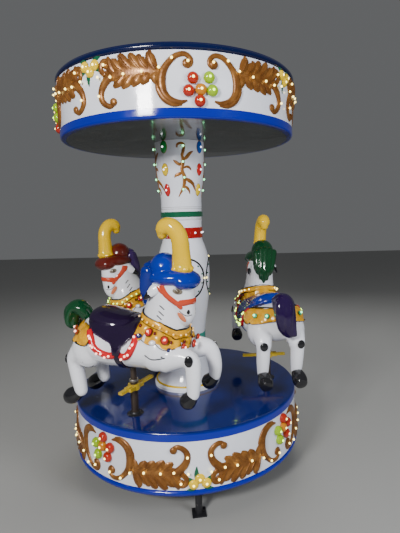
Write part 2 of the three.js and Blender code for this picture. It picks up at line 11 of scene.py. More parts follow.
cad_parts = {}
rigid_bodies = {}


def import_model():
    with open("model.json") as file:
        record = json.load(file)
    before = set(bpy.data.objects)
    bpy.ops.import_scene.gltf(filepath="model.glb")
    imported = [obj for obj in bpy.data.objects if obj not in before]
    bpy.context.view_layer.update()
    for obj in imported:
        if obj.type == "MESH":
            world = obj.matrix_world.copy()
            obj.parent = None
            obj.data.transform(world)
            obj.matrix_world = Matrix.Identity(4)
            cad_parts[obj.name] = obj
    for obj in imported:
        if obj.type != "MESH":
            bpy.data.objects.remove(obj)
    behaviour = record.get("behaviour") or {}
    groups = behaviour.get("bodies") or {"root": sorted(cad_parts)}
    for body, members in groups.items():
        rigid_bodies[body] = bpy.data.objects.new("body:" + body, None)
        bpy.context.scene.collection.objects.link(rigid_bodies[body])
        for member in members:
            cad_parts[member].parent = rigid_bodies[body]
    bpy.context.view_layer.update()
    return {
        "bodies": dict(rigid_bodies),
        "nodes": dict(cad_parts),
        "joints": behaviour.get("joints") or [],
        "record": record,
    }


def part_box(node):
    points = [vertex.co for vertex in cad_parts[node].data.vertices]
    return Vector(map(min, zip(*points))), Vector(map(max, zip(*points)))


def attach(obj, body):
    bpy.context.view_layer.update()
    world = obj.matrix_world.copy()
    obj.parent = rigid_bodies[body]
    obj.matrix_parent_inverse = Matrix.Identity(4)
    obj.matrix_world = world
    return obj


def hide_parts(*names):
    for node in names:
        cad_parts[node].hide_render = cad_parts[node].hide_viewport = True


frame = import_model()

# Driving dimensions, read from the frame
HORSES = ("front", "right", "back")
DECK_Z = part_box("deck")[1].z
DRUM_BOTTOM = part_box("drum_bead")[0].z
DRUM_HEIGHT = DECK_Z - DRUM_BOTTOM
SOFFIT_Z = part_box("canopy_band")[0].z
CANOPY_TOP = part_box("canopy_lid")[1].z
AXIS = (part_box("deck")[0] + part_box("deck")[1]) / 2
AXIS.z = 0
HEADING_TURN = 8


def outer_radius(node):
    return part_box(node)[1].x - AXIS.x


WIDE_R = outer_radius("canopy_lid")
NARROW_R = outer_radius("deck")
BEAD_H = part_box("drum_bead")[1].z - DRUM_BOTTOM
BAND_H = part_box("canopy_band")[1].z - SOFFIT_Z
WALL_R = outer_radius("drum_wall")
GREEN_LOW, GREEN_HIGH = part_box("column_green_band")[0].z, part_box("column_green_band")[1].z
RED_LOW, RED_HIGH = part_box("column_red_band")[0].z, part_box("column_red_band")[1].z
ROUND_STEPS = 160
SEAM = 0.0003


def centre_of(node):
    low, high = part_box(node)
    return (low + high) / 2


def horse_place(which):
    """The matrix from a horse's own frame, u forward, v left and z over the deck, to the row frame."""
    spot = centre_of(which + "_gland")
    angle = atan2(spot.y - AXIS.y, spot.x - AXIS.x)
    turn = Matrix.Rotation(angle + pi / 2 + radians(HEADING_TURN), 4, "Z")
    return Matrix.Translation((spot.x, spot.y, DECK_Z)) @ turn


# Camera, at the place and with the lens worked out from the photograph's rims
CAMERA_PLACE = (0.260, -2.320, 1.315)
CAMERA_YAW, CAMERA_PITCH, CAMERA_ROLL = 2.104, 6.009, -1.584
FOCAL_MM = 28.62
CAMERA_SHIFT = (-0.0358, -0.0118)

camera_data = bpy.data.cameras.new("camera")
camera_data.lens = FOCAL_MM
camera_data.sensor_width = 36
camera_data.sensor_fit = "AUTO"
camera_data.shift_x, camera_data.shift_y = CAMERA_SHIFT
camera = bpy.data.objects.new("camera", camera_data)
turn = Matrix.Translation(CAMERA_PLACE) @ Matrix.Rotation(radians(CAMERA_YAW), 4, "Z")
tilt = Matrix.Rotation(pi / 2 - radians(CAMERA_PITCH), 4, "X")
roll = Matrix.Rotation(radians(CAMERA_ROLL), 4, "Z")
camera.matrix_world = turn @ tilt @ roll
bpy.context.scene.collection.objects.link(camera)
bpy.context.scene.camera = camera


# Finishes: procedural materials on Object coordinates. Colours are linear.

def rgba(colour):
    return (*colour, 1.0)


def shade(colour, factor):
    return tuple(min(1.0, part * factor) for part in colour)


class Finish:
    """A material's node tree. Its helpers take and give output sockets."""

    def __init__(self, name, roughness=0.3, metallic=0.0, coat=0.0):
        self.material = bpy.data.materials.new(name)
        self.material.use_nodes = True
        self.tree = self.material.node_tree
        self.shader = self.tree.nodes["Principled BSDF"]
        self.set("Roughness", roughness)
        self.set("Metallic", metallic)
        self.set("Coat Weight", coat)
        self.place = self.node("ShaderNodeTexCoord", output="Object")

    def connect(self, target, value):
        if isinstance(value, bpy.types.NodeSocket):
            self.tree.links.new(value, target)
        else:
            target.default_value = value

    def set(self, socket, value):
        self.connect(self.shader.inputs[socket], value)

    def node(self, kind, settings=None, inputs=None, output=0):
        made = self.tree.nodes.new(kind)
        for key, value in (settings or {}).items():
            setattr(made, key, value)
        for key, value in (inputs or {}).items():
            self.connect(made.inputs[key], value)
        return made.outputs[output]

    def noise(self, scale, detail=3.0, roughness=0.55):
        sockets = {"Vector": self.place, "Scale": scale, "Detail": detail, "Roughness": roughness}
        return self.node("ShaderNodeTexNoise", inputs=sockets)

    def ramp(self, factor, stops):
        colours = self.node("ShaderNodeValToRGB", inputs={"Fac": factor})
        elements = colours.node.color_ramp.elements
        while len(elements) < len(stops):
            elements.new(0.5)
        for element, (position, colour) in zip(elements, stops):
            element.position = position
            element.color = rgba(colour)
        return colours

    def step(self, factor, start, end, bottom=0.0, top=1.0):
        """Goes from bottom to top as the factor goes from start to end."""
        sockets = {"Value": factor, "From Min": start, "From Max": end, "To Min": bottom, "To Max": top}
        return self.node("ShaderNodeMapRange", {"clamp": True}, sockets)

    def mix(self, factor, first, second):
        first = first if isinstance(first, bpy.types.NodeSocket) else rgba(first)
        sockets = {0: factor, 6: first, 7: rgba(second)}
        return self.node("ShaderNodeMix", {"data_type": "RGBA"}, sockets, output=2)

    def roughen(self, scale, detail, start, end, smoothest, roughest):
        self.set("Roughness", self.step(self.noise(scale, detail), start, end, smoothest, roughest))

    def bump(self, scale, detail, strength, distance):
        sockets = {"Height": self.noise(scale, detail), "Strength": strength, "Distance": distance}
        self.set("Normal", self.node("ShaderNodeBump", inputs=sockets))


WHITE = (0.80, 0.82, 0.90)
ROYAL_BLUE = (0.001, 0.011, 0.30)
DECK_BLUE = (0.001, 0.010, 0.12)
SCUFFED_BLUE = (0.03, 0.05, 0.11)
GOLD = (0.72, 0.34, 0.006)
RUBBED_GOLD = (0.84, 0.48, 0.02)
BRONZE_TONES = [(0.30, (0.15, 0.052, 0.010)), (0.52, (0.23, 0.090, 0.018)), (0.74, (0.33, 0.145, 0.034))]


def gelcoat(name, colour, grime):
    """Glossy coloured fibreglass: slow unevenness, dull handled patches and a faint orange peel."""
    finish = Finish(name, coat=0.35)
    tone = finish.ramp(finish.noise(5.0, 4.0), [(0.30, shade(colour, 1 - grime)), (0.62, colour)])
    specks = finish.step(finish.noise(160.0, 2.0), 0.66, 0.74, top=0.25)
    finish.set("Base Color", finish.mix(specks, tone, shade(colour, 0.45)))
    finish.roughen(11.0, 5.0, 0.35, 0.75, 0.10, 0.26)
    finish.bump(34.0, 2.0, 0.10, 0.002)
    return finish.material


def deck_paint():
    """Blue gelcoat, darker and scuffed on the deck's top and brighter on its rim."""
    finish = Finish("deck_blue", coat=0.35)
    height = finish.node("ShaderNodeSeparateXYZ", inputs={0: finish.place}, output="Z")
    rim = finish.step(height, DECK_Z - 0.003, DECK_Z - 0.012)
    tread = finish.ramp(finish.noise(5.0, 4.0), [(0.30, shade(DECK_BLUE, 0.7)), (0.62, DECK_BLUE)])
    scuffs = finish.step(finish.noise(70.0, 5.0), 0.62, 0.72, top=0.3)
    worn = finish.mix(scuffs, tread, SCUFFED_BLUE)
    finish.set("Base Color", finish.mix(rim, worn, ROYAL_BLUE))
    finish.roughen(11.0, 5.0, 0.35, 0.75, 0.10, 0.28)
    finish.bump(34.0, 2.0, 0.10, 0.002)
    return finish.material


def bronze_metal(name, lightness):
    """Brown-gold metallic paint in patchy tones, darker and lighter at random."""
    finish = Finish(name, metallic=0.35)
    stops = [(position, shade(tone, lightness)) for position, tone in BRONZE_TONES]
    finish.set("Base Color", finish.ramp(finish.noise(24.0, 3.0, 0.5), stops))
    finish.roughen(90.0, 3.0, 0.35, 0.7, 0.26, 0.48)
    finish.bump(130.0, 4.0, 0.35, 0.0012)
    return finish.material


def brushed_gold():
    """Yellow-gold gloss paint with brush unevenness."""
    finish = Finish("gold_paint", coat=0.3)
    stops = [(0.28, shade(GOLD, 0.72)), (0.50, GOLD), (0.75, RUBBED_GOLD)]
    finish.set("Base Color", finish.ramp(finish.noise(26.0, 5.0, 0.6), stops))
    finish.roughen(60.0, 3.0, 0.4, 0.7, 0.18, 0.36)
    finish.bump(110.0, 3.0, 0.15, 0.001)
    return finish.material


def worn_metal(name, colour, bare, metallic):
    """Paint over steel, chipped to the metal in small flakes, with dull dusty patches."""
    finish = Finish(name)
    flakes = finish.noise(48.0, 6.0, 0.7)
    tone = finish.ramp(finish.noise(9.0, 4.0), [(0.3, shade(colour, 0.7)), (0.65, colour)])
    finish.set("Base Color", finish.mix(finish.step(flakes, 0.60, 0.66), tone, bare))
    finish.set("Metallic", finish.step(flakes, 0.60, 0.66, metallic, 0.9))
    finish.roughen(22.0, 5.0, 0.35, 0.7, 0.30, 0.58)
    finish.bump(85.0, 4.0, 0.25, 0.0012)
    return finish.material


def lamp(name, colour, strength):
    """A lit LED's plastic dome."""
    finish = Finish(name, roughness=0.15)
    glow = finish.ramp(finish.noise(240.0, 1.0), [(0.3, shade(colour, 0.8)), (0.7, colour)])
    finish.set("Base Color", glow)
    finish.set("Emission Color", glow)
    finish.set("Emission Strength", strength)
    return finish.material


def floor_paint():
    finish = Finish("floor_pale", roughness=0.55)
    finish.set("Base Color", rgba((0.30, 0.30, 0.29)))
    return finish.material


# Gelcoat colours by how much darker their grime is
GELCOATS = {
    0.04: {"horse_white": (0.85, 0.86, 0.91)},
    0.10: {
        "white_shell": WHITE, "blue_rim": ROYAL_BLUE, "lid_blue": (0.001, 0.005, 0.045),
        "red_gloss": (0.34, 0.006, 0.006), "green_gloss": (0.006, 0.10, 0.045),
        "teal_gloss": (0.01, 0.28, 0.22), "yellow_gloss": (0.84, 0.56, 0.006),
        "black_gloss": (0.012, 0.012, 0.014), "navy_gloss": (0.012, 0.014, 0.09),
        "bridle_red": (0.56, 0.06, 0.022), "garland_red": (0.58, 0.010, 0.016),
        "eye_grey": (0.20, 0.17, 0.13), "eye_brown": (0.10, 0.075, 0.045),
        "mouth_orange": (0.66, 0.20, 0.09), "stroke_grey": (0.05, 0.05, 0.06),
        "groove_grey": (0.42, 0.42, 0.42), "pearl": (0.80, 0.78, 0.80),
        "stone_dark": (0.12, 0.008, 0.008), "stone_red": (0.52, 0.03, 0.015),
        "stone_rump": (0.30, 0.05, 0.012), "stone_green": (0.02, 0.45, 0.22),
        "ball_red": (0.40, 0.022, 0.008), "ball_orange": (0.56, 0.20, 0.008),
        "ball_lime": (0.30, 0.50, 0.006), "glass_green": (0.01, 0.30, 0.05),
        "glass_yellow": (0.72, 0.50, 0.02), "glass_red": (0.50, 0.02, 0.02),
        "glass_blue": (0.01, 0.10, 0.45),
    },
    0.15: {"plume_yellow": (0.80, 0.50, 0.004)},
    0.20: {
        "hat_blue": (0.002, 0.022, 0.32), "saddle_blue": (0.002, 0.020, 0.26),
        "saddle_edge": (0.03, 0.016, 0.05),
    },
    0.25: {"soffit_grey": (0.070, 0.078, 0.072), "mane_blue": (0.002, 0.016, 0.24)},
    0.30: {
        "hat_green": (0.003, 0.045, 0.014), "hat_brown": (0.12, 0.014, 0.009),
        "mane_purple": (0.045, 0.020, 0.11), "saddle_purple": (0.014, 0.006, 0.028),
        "saddle_green": (0.006, 0.11, 0.045), "tail_green": (0.003, 0.058, 0.018),
        "tail_purple": (0.018, 0.006, 0.050), "tail_blue": (0.006, 0.04, 0.36),
    },
}
# Paint, bare metal and how metallic the paint is
METALS = {
    "black_steel": ((0.03, 0.03, 0.034), (0.20, 0.19, 0.18), 0.4),
    "post_steel": ((0.10, 0.075, 0.06), (0.30, 0.27, 0.24), 0.7),
    "pale_steel": ((0.34, 0.32, 0.29), (0.5, 0.48, 0.45), 0.85),
    "tread_yellow": ((0.62, 0.42, 0.02), (0.22, 0.20, 0.15), 0.0),
}
LED_WARM = (1.0, 0.82, 0.26)
LED_RED = (1.0, 0.50, 0.42)
# Colour and emission. The last three are recoloured on each horse.
LAMPS = {
    "led_white": ((0.9, 0.92, 1.0), 2.5), "led_warm": (LED_WARM, 4.5), "led_lime": ((0.60, 1.0, 0.12), 4.5),
    "led_mint": ((0.26, 1.0, 0.46), 3.5), "led_red": (LED_RED, 3.0), "led_faint": ((0.95, 0.62, 0.22), 0.9),
    "led_garland": (LED_RED, 3.0), "led_collar": (LED_WARM, 2.0), "led_rump": (LED_WARM, 2.0),
}

FINISHES = {"deck_blue": deck_paint(), "gold_paint": brushed_gold(), "floor_pale": floor_paint()}
for name, lightness in (("bronze_paint", 1.0), ("gold_bronze", 1.35)):
    FINISHES[name] = bronze_metal(name, lightness)
for grime, colours in GELCOATS.items():
    for name, colour in colours.items():
        FINISHES[name] = gelcoat(name, colour, grime)
for name, row in METALS.items():
    FINISHES[name] = worn_metal(name, *row)
for name, row in LAMPS.items():
    FINISHES[name] = lamp(name, *row)


# Modelling helpers

def deselect():
    if bpy.context.object and bpy.context.object.mode != "OBJECT":
        bpy.ops.object.mode_set(mode="OBJECT")
    bpy.ops.object.select_all(action="DESELECT")


def select(piece):
    deselect()
    piece.select_set(True)
    bpy.context.view_layer.objects.active = piece


def settle(piece):
    """Puts a piece's place and size into its mesh."""
    select(piece)
    bpy.ops.object.transform_apply(location=True, rotation=True, scale=True)
    return piece


def apply_modifiers(piece):
    select(piece)
    for modifier in list(piece.modifiers):
        bpy.ops.object.modifier_apply(modifier=modifier.name)
    return piece


def paint(piece, look):
    """Gives a piece one finish, by its name."""
    piece.data.materials.clear()
    piece.data.materials.append(FINISHES[look])
    return piece


def smooth(piece, degrees=40):
    select(piece)
    bpy.ops.object.shade_smooth_by_angle(angle=radians(degrees))
    return piece


def join(pieces, name):
    deselect()
    for piece in pieces:
        piece.select_set(True)
    bpy.context.view_layer.objects.active = pieces[0]
    if len(pieces) > 1:
        bpy.ops.object.join()
    joined = bpy.context.object
    joined.name = name
    return joined


def copy_to(piece, name, matrix):
    """A copy with its own mesh, moved by a matrix that goes into the mesh."""
    twin = piece.copy()
    twin.data = piece.data.copy()
    twin.name = name
    twin.data.transform(matrix)
    if matrix.determinant() < 0:
        twin.data.flip_normals()
    bpy.context.scene.collection.objects.link(twin)
    return twin


def discard(piece):
    bpy.data.objects.remove(piece, do_unlink=True)


def turned(name, profile, look, steps=ROUND_STEPS):
    """A closed (radius, height) outline spun about the machine's axis."""
    deselect()
    bpy.ops.mesh.primitive_plane_add(size=0.001, location=(0, 0, 0))
    piece = bpy.context.object
    bpy.ops.object.mode_set(mode="EDIT")
    bpy.ops.mesh.select_all(action="SELECT")
    bpy.ops.mesh.merge(type="CENTER")
    here = Vector((profile[0][0], 0, profile[0][1]))
    bpy.ops.transform.translate(value=here)
    for radius, height in profile[1:]:
        there = Vector((radius, 0, height))
        bpy.ops.mesh.extrude_region_move(TRANSFORM_OT_translate={"value": there - here})
        here = there
    bpy.ops.mesh.select_all(action="SELECT")
    bpy.ops.mesh.spin(steps=steps, angle=2 * pi, center=(0, 0, 0), axis=(0, 0, 1))
    bpy.ops.mesh.select_all(action="SELECT")
    bpy.ops.mesh.remove_doubles(threshold=0.00002)
    bpy.ops.mesh.normals_make_consistent(inside=False)
    bpy.ops.object.mode_set(mode="OBJECT")
    piece.name = name
    piece.data.transform(Matrix.Translation(AXIS))
    paint(piece, look)
    return smooth(piece)


def arc(centre, radius, start, end, steps=8):
    """Points of an arc in a (radius, height) outline, in degrees."""
    points = []
    for i in range(steps + 1):
        angle = radians(start + (end - start) * i / steps)
        points.append((centre[0] + radius * cos(angle), centre[1] + radius * sin(angle)))
    return points


def smooth_line(points, steps=6):
    """A smooth line through (radius, height) points, as more points."""
    line = []
    last = len(points) - 1
    for i in range(last):
        before, start = points[max(i - 1, 0)], points[i]
        end, after = points[i + 1], points[min(i + 2, last)]
        for k in range(steps):
            t = k / steps
            weights = (
                -0.5 * t ** 3 + t ** 2 - 0.5 * t,
                1.5 * t ** 3 - 2.5 * t ** 2 + 1,
                -1.5 * t ** 3 + 2 * t ** 2 + 0.5 * t,
                0.5 * t ** 3 - 0.5 * t ** 2,
            )
            line.append(tuple(
                sum(w * p[axis] for w, p in zip(weights, (before, start, end, after)))
                for axis in range(len(start))
            ))
    line.append(tuple(points[-1]))
    return line


def loft(name, frames, look, sides=20):
    """A round section carried through frames by extrusion, closed at both ends."""
    deselect()
    bpy.ops.mesh.primitive_circle_add(vertices=sides, radius=1, fill_type="NGON", location=(0, 0, 0))
    piece = bpy.context.object
    piece.name = name
    bpy.ops.object.mode_set(mode="EDIT")
    mesh = bmesh.from_edit_mesh(piece.data)
    bmesh.ops.transform(mesh, matrix=frames[0], verts=mesh.verts)
    ring = list(mesh.faces)
    for before, after in zip(frames, frames[1:]):
        grown = bmesh.ops.extrude_face_region(mesh, geom=ring, use_keep_orig=before is frames[0])
        ring = [part for part in grown["geom"] if isinstance(part, bmesh.types.BMFace)]
        moved = [part for part in grown["geom"] if isinstance(part, bmesh.types.BMVert)]
        bmesh.ops.transform(mesh, matrix=after @ before.inverted(), verts=moved)
    bmesh.ops.recalc_face_normals(mesh, faces=mesh.faces)
    bmesh.update_edit_mesh(piece.data)
    bpy.ops.object.mode_set(mode="OBJECT")
    paint(piece, look)
    return smooth(piece, 50)


def frames_along(points, sizes, normals):
    """Frames along a line, sized (across, along the normal) at each point."""
    frames = []
    last = len(points) - 1
    normal = normals[0]
    for i, point in enumerate(points):
        ahead = (points[min(i + 1, last)] - points[max(i - 1, 0)]).normalized()
        wanted = normals[i] if abs(normals[i].dot(ahead)) < 0.95 else normal
        normal = (wanted - ahead * wanted.dot(ahead)).normalized()
        side = normal.cross(ahead)
        across, high = sizes[i]
        frame = Matrix((side * across, normal * high, ahead)).transposed().to_4x4()
        frame.translation = point
        frames.append(frame)
    return frames


def domed(frames, depth=1.0):
    """Adds a rounded cap at each end of a list of frames."""
    start, end = [], []
    for angle in (radians(78), radians(52), radians(26)):
        shrink = Matrix.Diagonal((cos(angle), cos(angle), 1, 1))
        reach = sin(angle) * depth
        for caps, frame, way in ((start, frames[0], -1), (end, frames[-1], 1)):
            size = min(frame.col[0].to_3d().length, frame.col[1].to_3d().length)
            caps.append(frame @ Matrix.Translation((0, 0, way * reach * size)) @ shrink)
    return [*start, *frames, *reversed(end)]


MM = 0.001
LEFTWARD = Vector((0, 1, 0))


def limb(name, sections, look, sides=20, steps=4, grow=0.0, cap=1.0):
    """A body part lofted through (u, v, z, in the plane, across) sections in millimetres."""
    line = smooth_line(sections, steps)
    points = [Vector(row[:3]) * MM for row in line]
    sizes = [((row[4] + grow) * MM, (row[3] + grow) * MM) for row in line]
    last = len(points) - 1
    normals = []
    for i in range(len(points)):
        ahead = points[min(i + 1, last)] - points[max(i - 1, 0)]
        normals.append(ahead.cross(LEFTWARD))
    return loft(name, domed(frames_along(points, sizes, normals), cap), look, sides)


def ball(name, centre, radii, look, rings=12):
    """An ellipsoid in millimetres, as a lump of a larger form or a glass stone."""
    deselect()
    place = Vector(centre) * MM
    bpy.ops.mesh.primitive_uv_sphere_add(segments=2 * rings, ring_count=rings, radius=MM, location=place)
    piece = bpy.context.object
    piece.scale = radii
    piece.name = name
    settle(piece)
    paint(piece, look)
    return smooth(piece, 60)


def mirrored(sections):
    return [(u, -v, *rest) for u, v, *rest in sections]


def fuse(pieces, name, voxel=0.005, smoothing=6):
    """Makes overlapping forms one closed skin and softens the creases between them."""
    body = join(pieces, name)
    remesh = body.modifiers.new("fuse", "REMESH")
    remesh.mode = "VOXEL"
    remesh.voxel_size = voxel
    soften = body.modifiers.new("soften", "SMOOTH")
    soften.factor = 0.5
    soften.iterations = smoothing
    apply_modifiers(body)
    return smooth(body, 80)


THROUGH = 0.3


def inside(piece, outline, look):
    """What of a piece lies inside a (u, z) outline in millimetres, seen from the side."""
    deselect()
    bpy.ops.mesh.primitive_circle_add(vertices=len(outline), radius=1, fill_type="NGON", location=(0, 0, 0))
    cutter = bpy.context.object
    bpy.ops.object.mode_set(mode="EDIT")
    mesh = bmesh.from_edit_mesh(cutter.data)
    mesh.verts.ensure_lookup_table()
    for vertex, (u, z) in zip(mesh.verts, outline):
        vertex.co = (u * MM, -THROUGH, z * MM)
    bmesh.update_edit_mesh(cutter.data)
    bpy.ops.mesh.select_all(action="SELECT")
    bpy.ops.mesh.extrude_region_move(TRANSFORM_OT_translate={"value": (0, 2 * THROUGH, 0)})
    bpy.ops.mesh.select_all(action="SELECT")
    bpy.ops.mesh.normals_make_consistent(inside=False)
    bpy.ops.object.mode_set(mode="OBJECT")
    boolean = piece.modifiers.new("cut", "BOOLEAN")
    boolean.operation = "INTERSECT"
    boolean.object = paint(cutter, look)
    boolean.solver = "EXACT"
    apply_modifiers(piece)
    discard(cutter)
    return piece


class Skin:
    """A finished surface that trim is laid on, in the horse's own frame."""

    def __init__(self, *pieces):
        corners, faces = [], []
        for piece in pieces:
            start = len(corners)
            corners += [vertex.co.copy() for vertex in piece.data.vertices]
            faces += [[start + k for k in face.vertices] for face in piece.data.polygons]
        self.tree = BVHTree.FromPolygons(corners, faces)

    def cast(self, start, toward):
        place, normal, _, _ = self.tree.ray_cast(start, (toward - start).normalized())
        if place is None:
            place, normal, _, _ = self.tree.find_nearest((start + toward) / 2)
        return place, normal

    def side(self, u, z, side):
        """The point straight in from one side; side is +1 on the left and -1 on the right."""
        return self.cast(Vector((u * MM, side * 0.5, z * MM)), Vector((u * MM, 0, z * MM)))

    def around(self, angle, centre_u, height_at, offset):
        """The point round the neck at an angle from the front, at a height that depends on u."""
        way = Vector((cos(angle), sin(angle), 0))
        u = centre_u + 150 * way.x
        for _ in range(5):
            z = (height_at(u) + offset) * MM
            centre = Vector((centre_u * MM, 0, z))
            place, normal = self.cast(centre + way * 0.5, centre)
            u = place.x / MM
        return place, normal


def steady(normals, spread=2):
    """Evens out surface normals along a line."""
    even = []
    for i in range(len(normals)):
        near = normals[max(i - spread, 0):i + spread + 1]
        even.append(sum(near, Vector()).normalized())
    return even


def apart(laid, gap=0.002):
    """Leaves out the points of a laid line that fall on the one before."""
    kept = [laid[0]]
    for point, normal in laid[1:]:
        if (point - kept[-1][0]).length > gap:
            kept.append((point, normal))
    return kept


def strap(name, laid, width, thickness, look, sides=8):
    """A strap on a surface, through (point, normal) pairs, in millimetres wide and thick."""
    laid = apart(laid)
    points = [point for point, _ in laid]
    normals = steady([normal for _, normal in laid])
    sizes = [(width / 2 * MM, thickness * MM)] * len(points)
    return loft(name, domed(frames_along(points, sizes, normals)), look, sides)


def side_line(skin, points, side, steps=5):
    """A smooth line through (u, z) points in millimetres, laid on one side of a skin."""
    return [skin.side(u, z, side) for u, z in smooth_line(points, steps)]


def straps(name, skin, runs, width, thickness, look, steps=5, sides=8):
    """Straps along (u, z) lines, laid on both sides of a skin."""
    laid = [side_line(skin, run, side, steps) for side in (-1, 1) for run in runs]
    return [strap(name, line, width, thickness, look, sides) for line in laid]


def stud(name, place, normal, radii, look, sunk=0.25, rings=8, spin=0.0):
    """A flattened dome on a surface, sized (across, up, out) in millimetres."""
    upright = Vector((0, 0, 1))
    side = upright.cross(normal).normalized()
    up = normal.cross(side)
    turn = Matrix((side, up, normal)).transposed().to_4x4() @ Matrix.Rotation(spin, 4, "Z")
    piece = ball(name, (0, 0, 0), radii, look, rings)
    lift = normal * (radii[2] * MM * (0.5 - sunk))
    piece.data.transform(Matrix.Translation(place + lift) @ turn)
    return piece


def assign(piece, body, node=None):
    """Parents a piece to the body that carries it, and hides the CAD node that it stands for."""
    if node:
        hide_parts(node)
    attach(piece, body)


# Drum, canopy and column as turned shells. The canopy is the drum's moulding upside down.

DECK_T, SHELL_T, COLUMN_T = 0.006, 0.005, 0.006
EDGE_R, EDGE_CHAMFER = 0.012, 0.008
BEAD_R, BEAD_SPREAD = 0.012, 78
BEAD_LIP, BEAD_INNER = WIDE_R - 0.0105, WIDE_R - 0.014
BAND_INNER = NARROW_R - 0.026
WALL_TAPER = 0.006
COLUMN_STEPS = 96
FOOT_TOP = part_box("column_foot")[1].z - DECK_Z
FOOT_R = outer_radius("column_foot")
SHAFT_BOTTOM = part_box("column_shaft")[0].z

FOOT_RISE = [
    (FOOT_R - 0.006, 0.020), (0.160, 0.034), (0.147, 0.058), (0.130, 0.100), (0.114, 0.158), (0.105, 0.205),
    (0.102, FOOT_TOP),
]
FOOT_LINE = [(r, DECK_Z + h) for r, h in [(FOOT_R, SEAM), (FOOT_R, 0.014), *smooth_line(FOOT_RISE)]]
SHAFT_LINE = smooth_line([
    (0.105, SHAFT_BOTTOM), (0.1045, 0.664), (0.1065, 0.686), (0.115, 0.760), (0.1265, 0.832), (0.136, 0.915),
    (0.1405, 1.000), (0.1395, 1.055), (0.132, 1.110), (0.118, 1.160), (0.1075, 1.190), (0.105, 1.215),
    (0.1055, 1.262), (0.107, GREEN_LOW - SEAM),
])
HEAD_LINE = smooth_line([
    (0.108, GREEN_HIGH + SEAM), (0.1085, 1.410), (0.112, 1.452), (0.1205, 1.505), (0.1265, 1.575),
    (0.129, 1.650), (0.131, SOFFIT_Z - SEAM),
])


def shell_profile(outer, thickness):
    inner = [(radius - thickness, height) for radius, height in reversed(outer)]
    return [*outer, *inner, outer[0]]


def deck_profile():
    inner, under, skirt_bottom = NARROW_R - DECK_T, DECK_Z - DECK_T, DECK_Z - BAND_H
    edge = arc((NARROW_R - EDGE_R, DECK_Z - EDGE_R), EDGE_R, 0, 90)
    return [
        (0.0, under), (inner - EDGE_CHAMFER, under), (inner, under - EDGE_CHAMFER), (inner, skirt_bottom),
        (NARROW_R - 0.001, skirt_bottom), (NARROW_R, skirt_bottom + 0.001), *edge, (0.0, DECK_Z),
    ]


def rolled_edge(bottom):
    nose = arc((WIDE_R - BEAD_R, bottom + BEAD_H / 2), BEAD_R, -BEAD_SPREAD, BEAD_SPREAD, 10)
    return [(BEAD_INNER, bottom), (BEAD_LIP, bottom), *nose, (BEAD_LIP, bottom + BEAD_H)]


def bead_profile():
    return [*rolled_edge(DRUM_BOTTOM), (BEAD_INNER, DRUM_BOTTOM + BEAD_H), (BEAD_INNER, DRUM_BOTTOM)]


def lid_profile():
    under = CANOPY_TOP - SHELL_T
    return [(0.0, under), (BEAD_INNER, under), *rolled_edge(CANOPY_TOP - BEAD_H), (0.0, CANOPY_TOP)]


def band_profile():
    inner, top, over = NARROW_R - DECK_T, SOFFIT_Z + BAND_H, SOFFIT_Z + DECK_T
    edge = arc((NARROW_R - EDGE_R, SOFFIT_Z + EDGE_R), EDGE_R, -90, 0)
    return [
        (BAND_INNER, SOFFIT_Z), *edge, (NARROW_R, top), (inner, top), (inner, over + EDGE_CHAMFER),
        (inner - EDGE_CHAMFER, over), (BAND_INNER, over), (BAND_INNER, SOFFIT_Z),
    ]


def wall_profile(node, bottom_r, top_r):
    low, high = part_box(node)
    return shell_profile([(bottom_r, low.z), (top_r, high.z)], SHELL_T)


def place_shells():
    tapered = WALL_R - WALL_TAPER
    shells = {
        "deck": (deck_profile(), "deck_blue"), "drum_bead": (bead_profile(), "blue_rim"),
        "drum_wall": (wall_profile("drum_wall", WALL_R, tapered), "white_shell"),
        "canopy_wall": (wall_profile("canopy_wall", tapered, WALL_R), "white_shell"),
        "canopy_band": (band_profile(), "blue_rim"), "canopy_lid": (lid_profile(), "lid_blue"),
    }
    for node, (profile, look) in shells.items():
        assign(turned(node + "_shell", profile, look), "turntable", node=node)
    for node, line in (("column_foot", FOOT_LINE), ("column_shaft", SHAFT_LINE), ("column_head", HEAD_LINE)):
        shell = turned(node + "_shell", shell_profile(line, COLUMN_T), "white_shell", COLUMN_STEPS)
        assign(shell, "turntable", node=node)


# Horse, made once in its own frame: u forward, v to its left, z over the deck, in millimetres

TORSO = [
    (-256, 0, 392, 30, 34), (-249, 0, 390, 58, 68), (-222, 0, 381, 85, 102), (-174, 0, 366, 103, 132),
    (-116, 0, 355, 111, 154), (-46, 0, 346, 109, 152), (30, 0, 345, 105, 148), (112, 0, 346, 105, 146),
    (181, 0, 348, 108, 138), (231, 0, 352, 98, 118), (262, 0, 355, 72, 88), (272, 0, 354, 38, 48),
]
NECK = [
    (174, 0, 390, 110, 110), (178, 0, 450, 104, 96), (186, 0, 500, 94, 84), (200, 0, 550, 84, 78),
    (210, 0, 600, 80, 74), (216, 0, 650, 74, 66), (220, 0, 684, 54, 48),
]
HEAD = [
    (216, 0, 668, 60, 50), (234, 0, 636, 76, 66), (252, 0, 602, 78, 67), (266, 0, 562, 69, 58),
    (275, 0, 530, 57, 50), (279, 0, 500, 49, 45), (276, 0, 472, 40, 39), (272, 0, 454, 27, 27),
]
HIND_LEG = [
    (-156, 74, 346, 81, 74), (-213, 83, 310, 57, 56), (-250, 87, 274, 42, 41), (-251, 88, 238, 36, 35),
    (-241, 88, 177, 34, 33), (-231, 88, 120, 30, 29),
]
HIND_HOOF = [(-240, 88, 111, 27, 27), (-266, 88, 98, 37, 35), (-288, 88, 86, 39, 37), (-306, 88, 77, 33, 32)]
RIGHT_FORELEG = [
    (214, -72, 315, 66, 60), (299, -78, 324, 45, 43), (340, -80, 305, 36, 34), (344, -80, 236, 33, 31),
    (340, -79, 168, 27, 26),
]
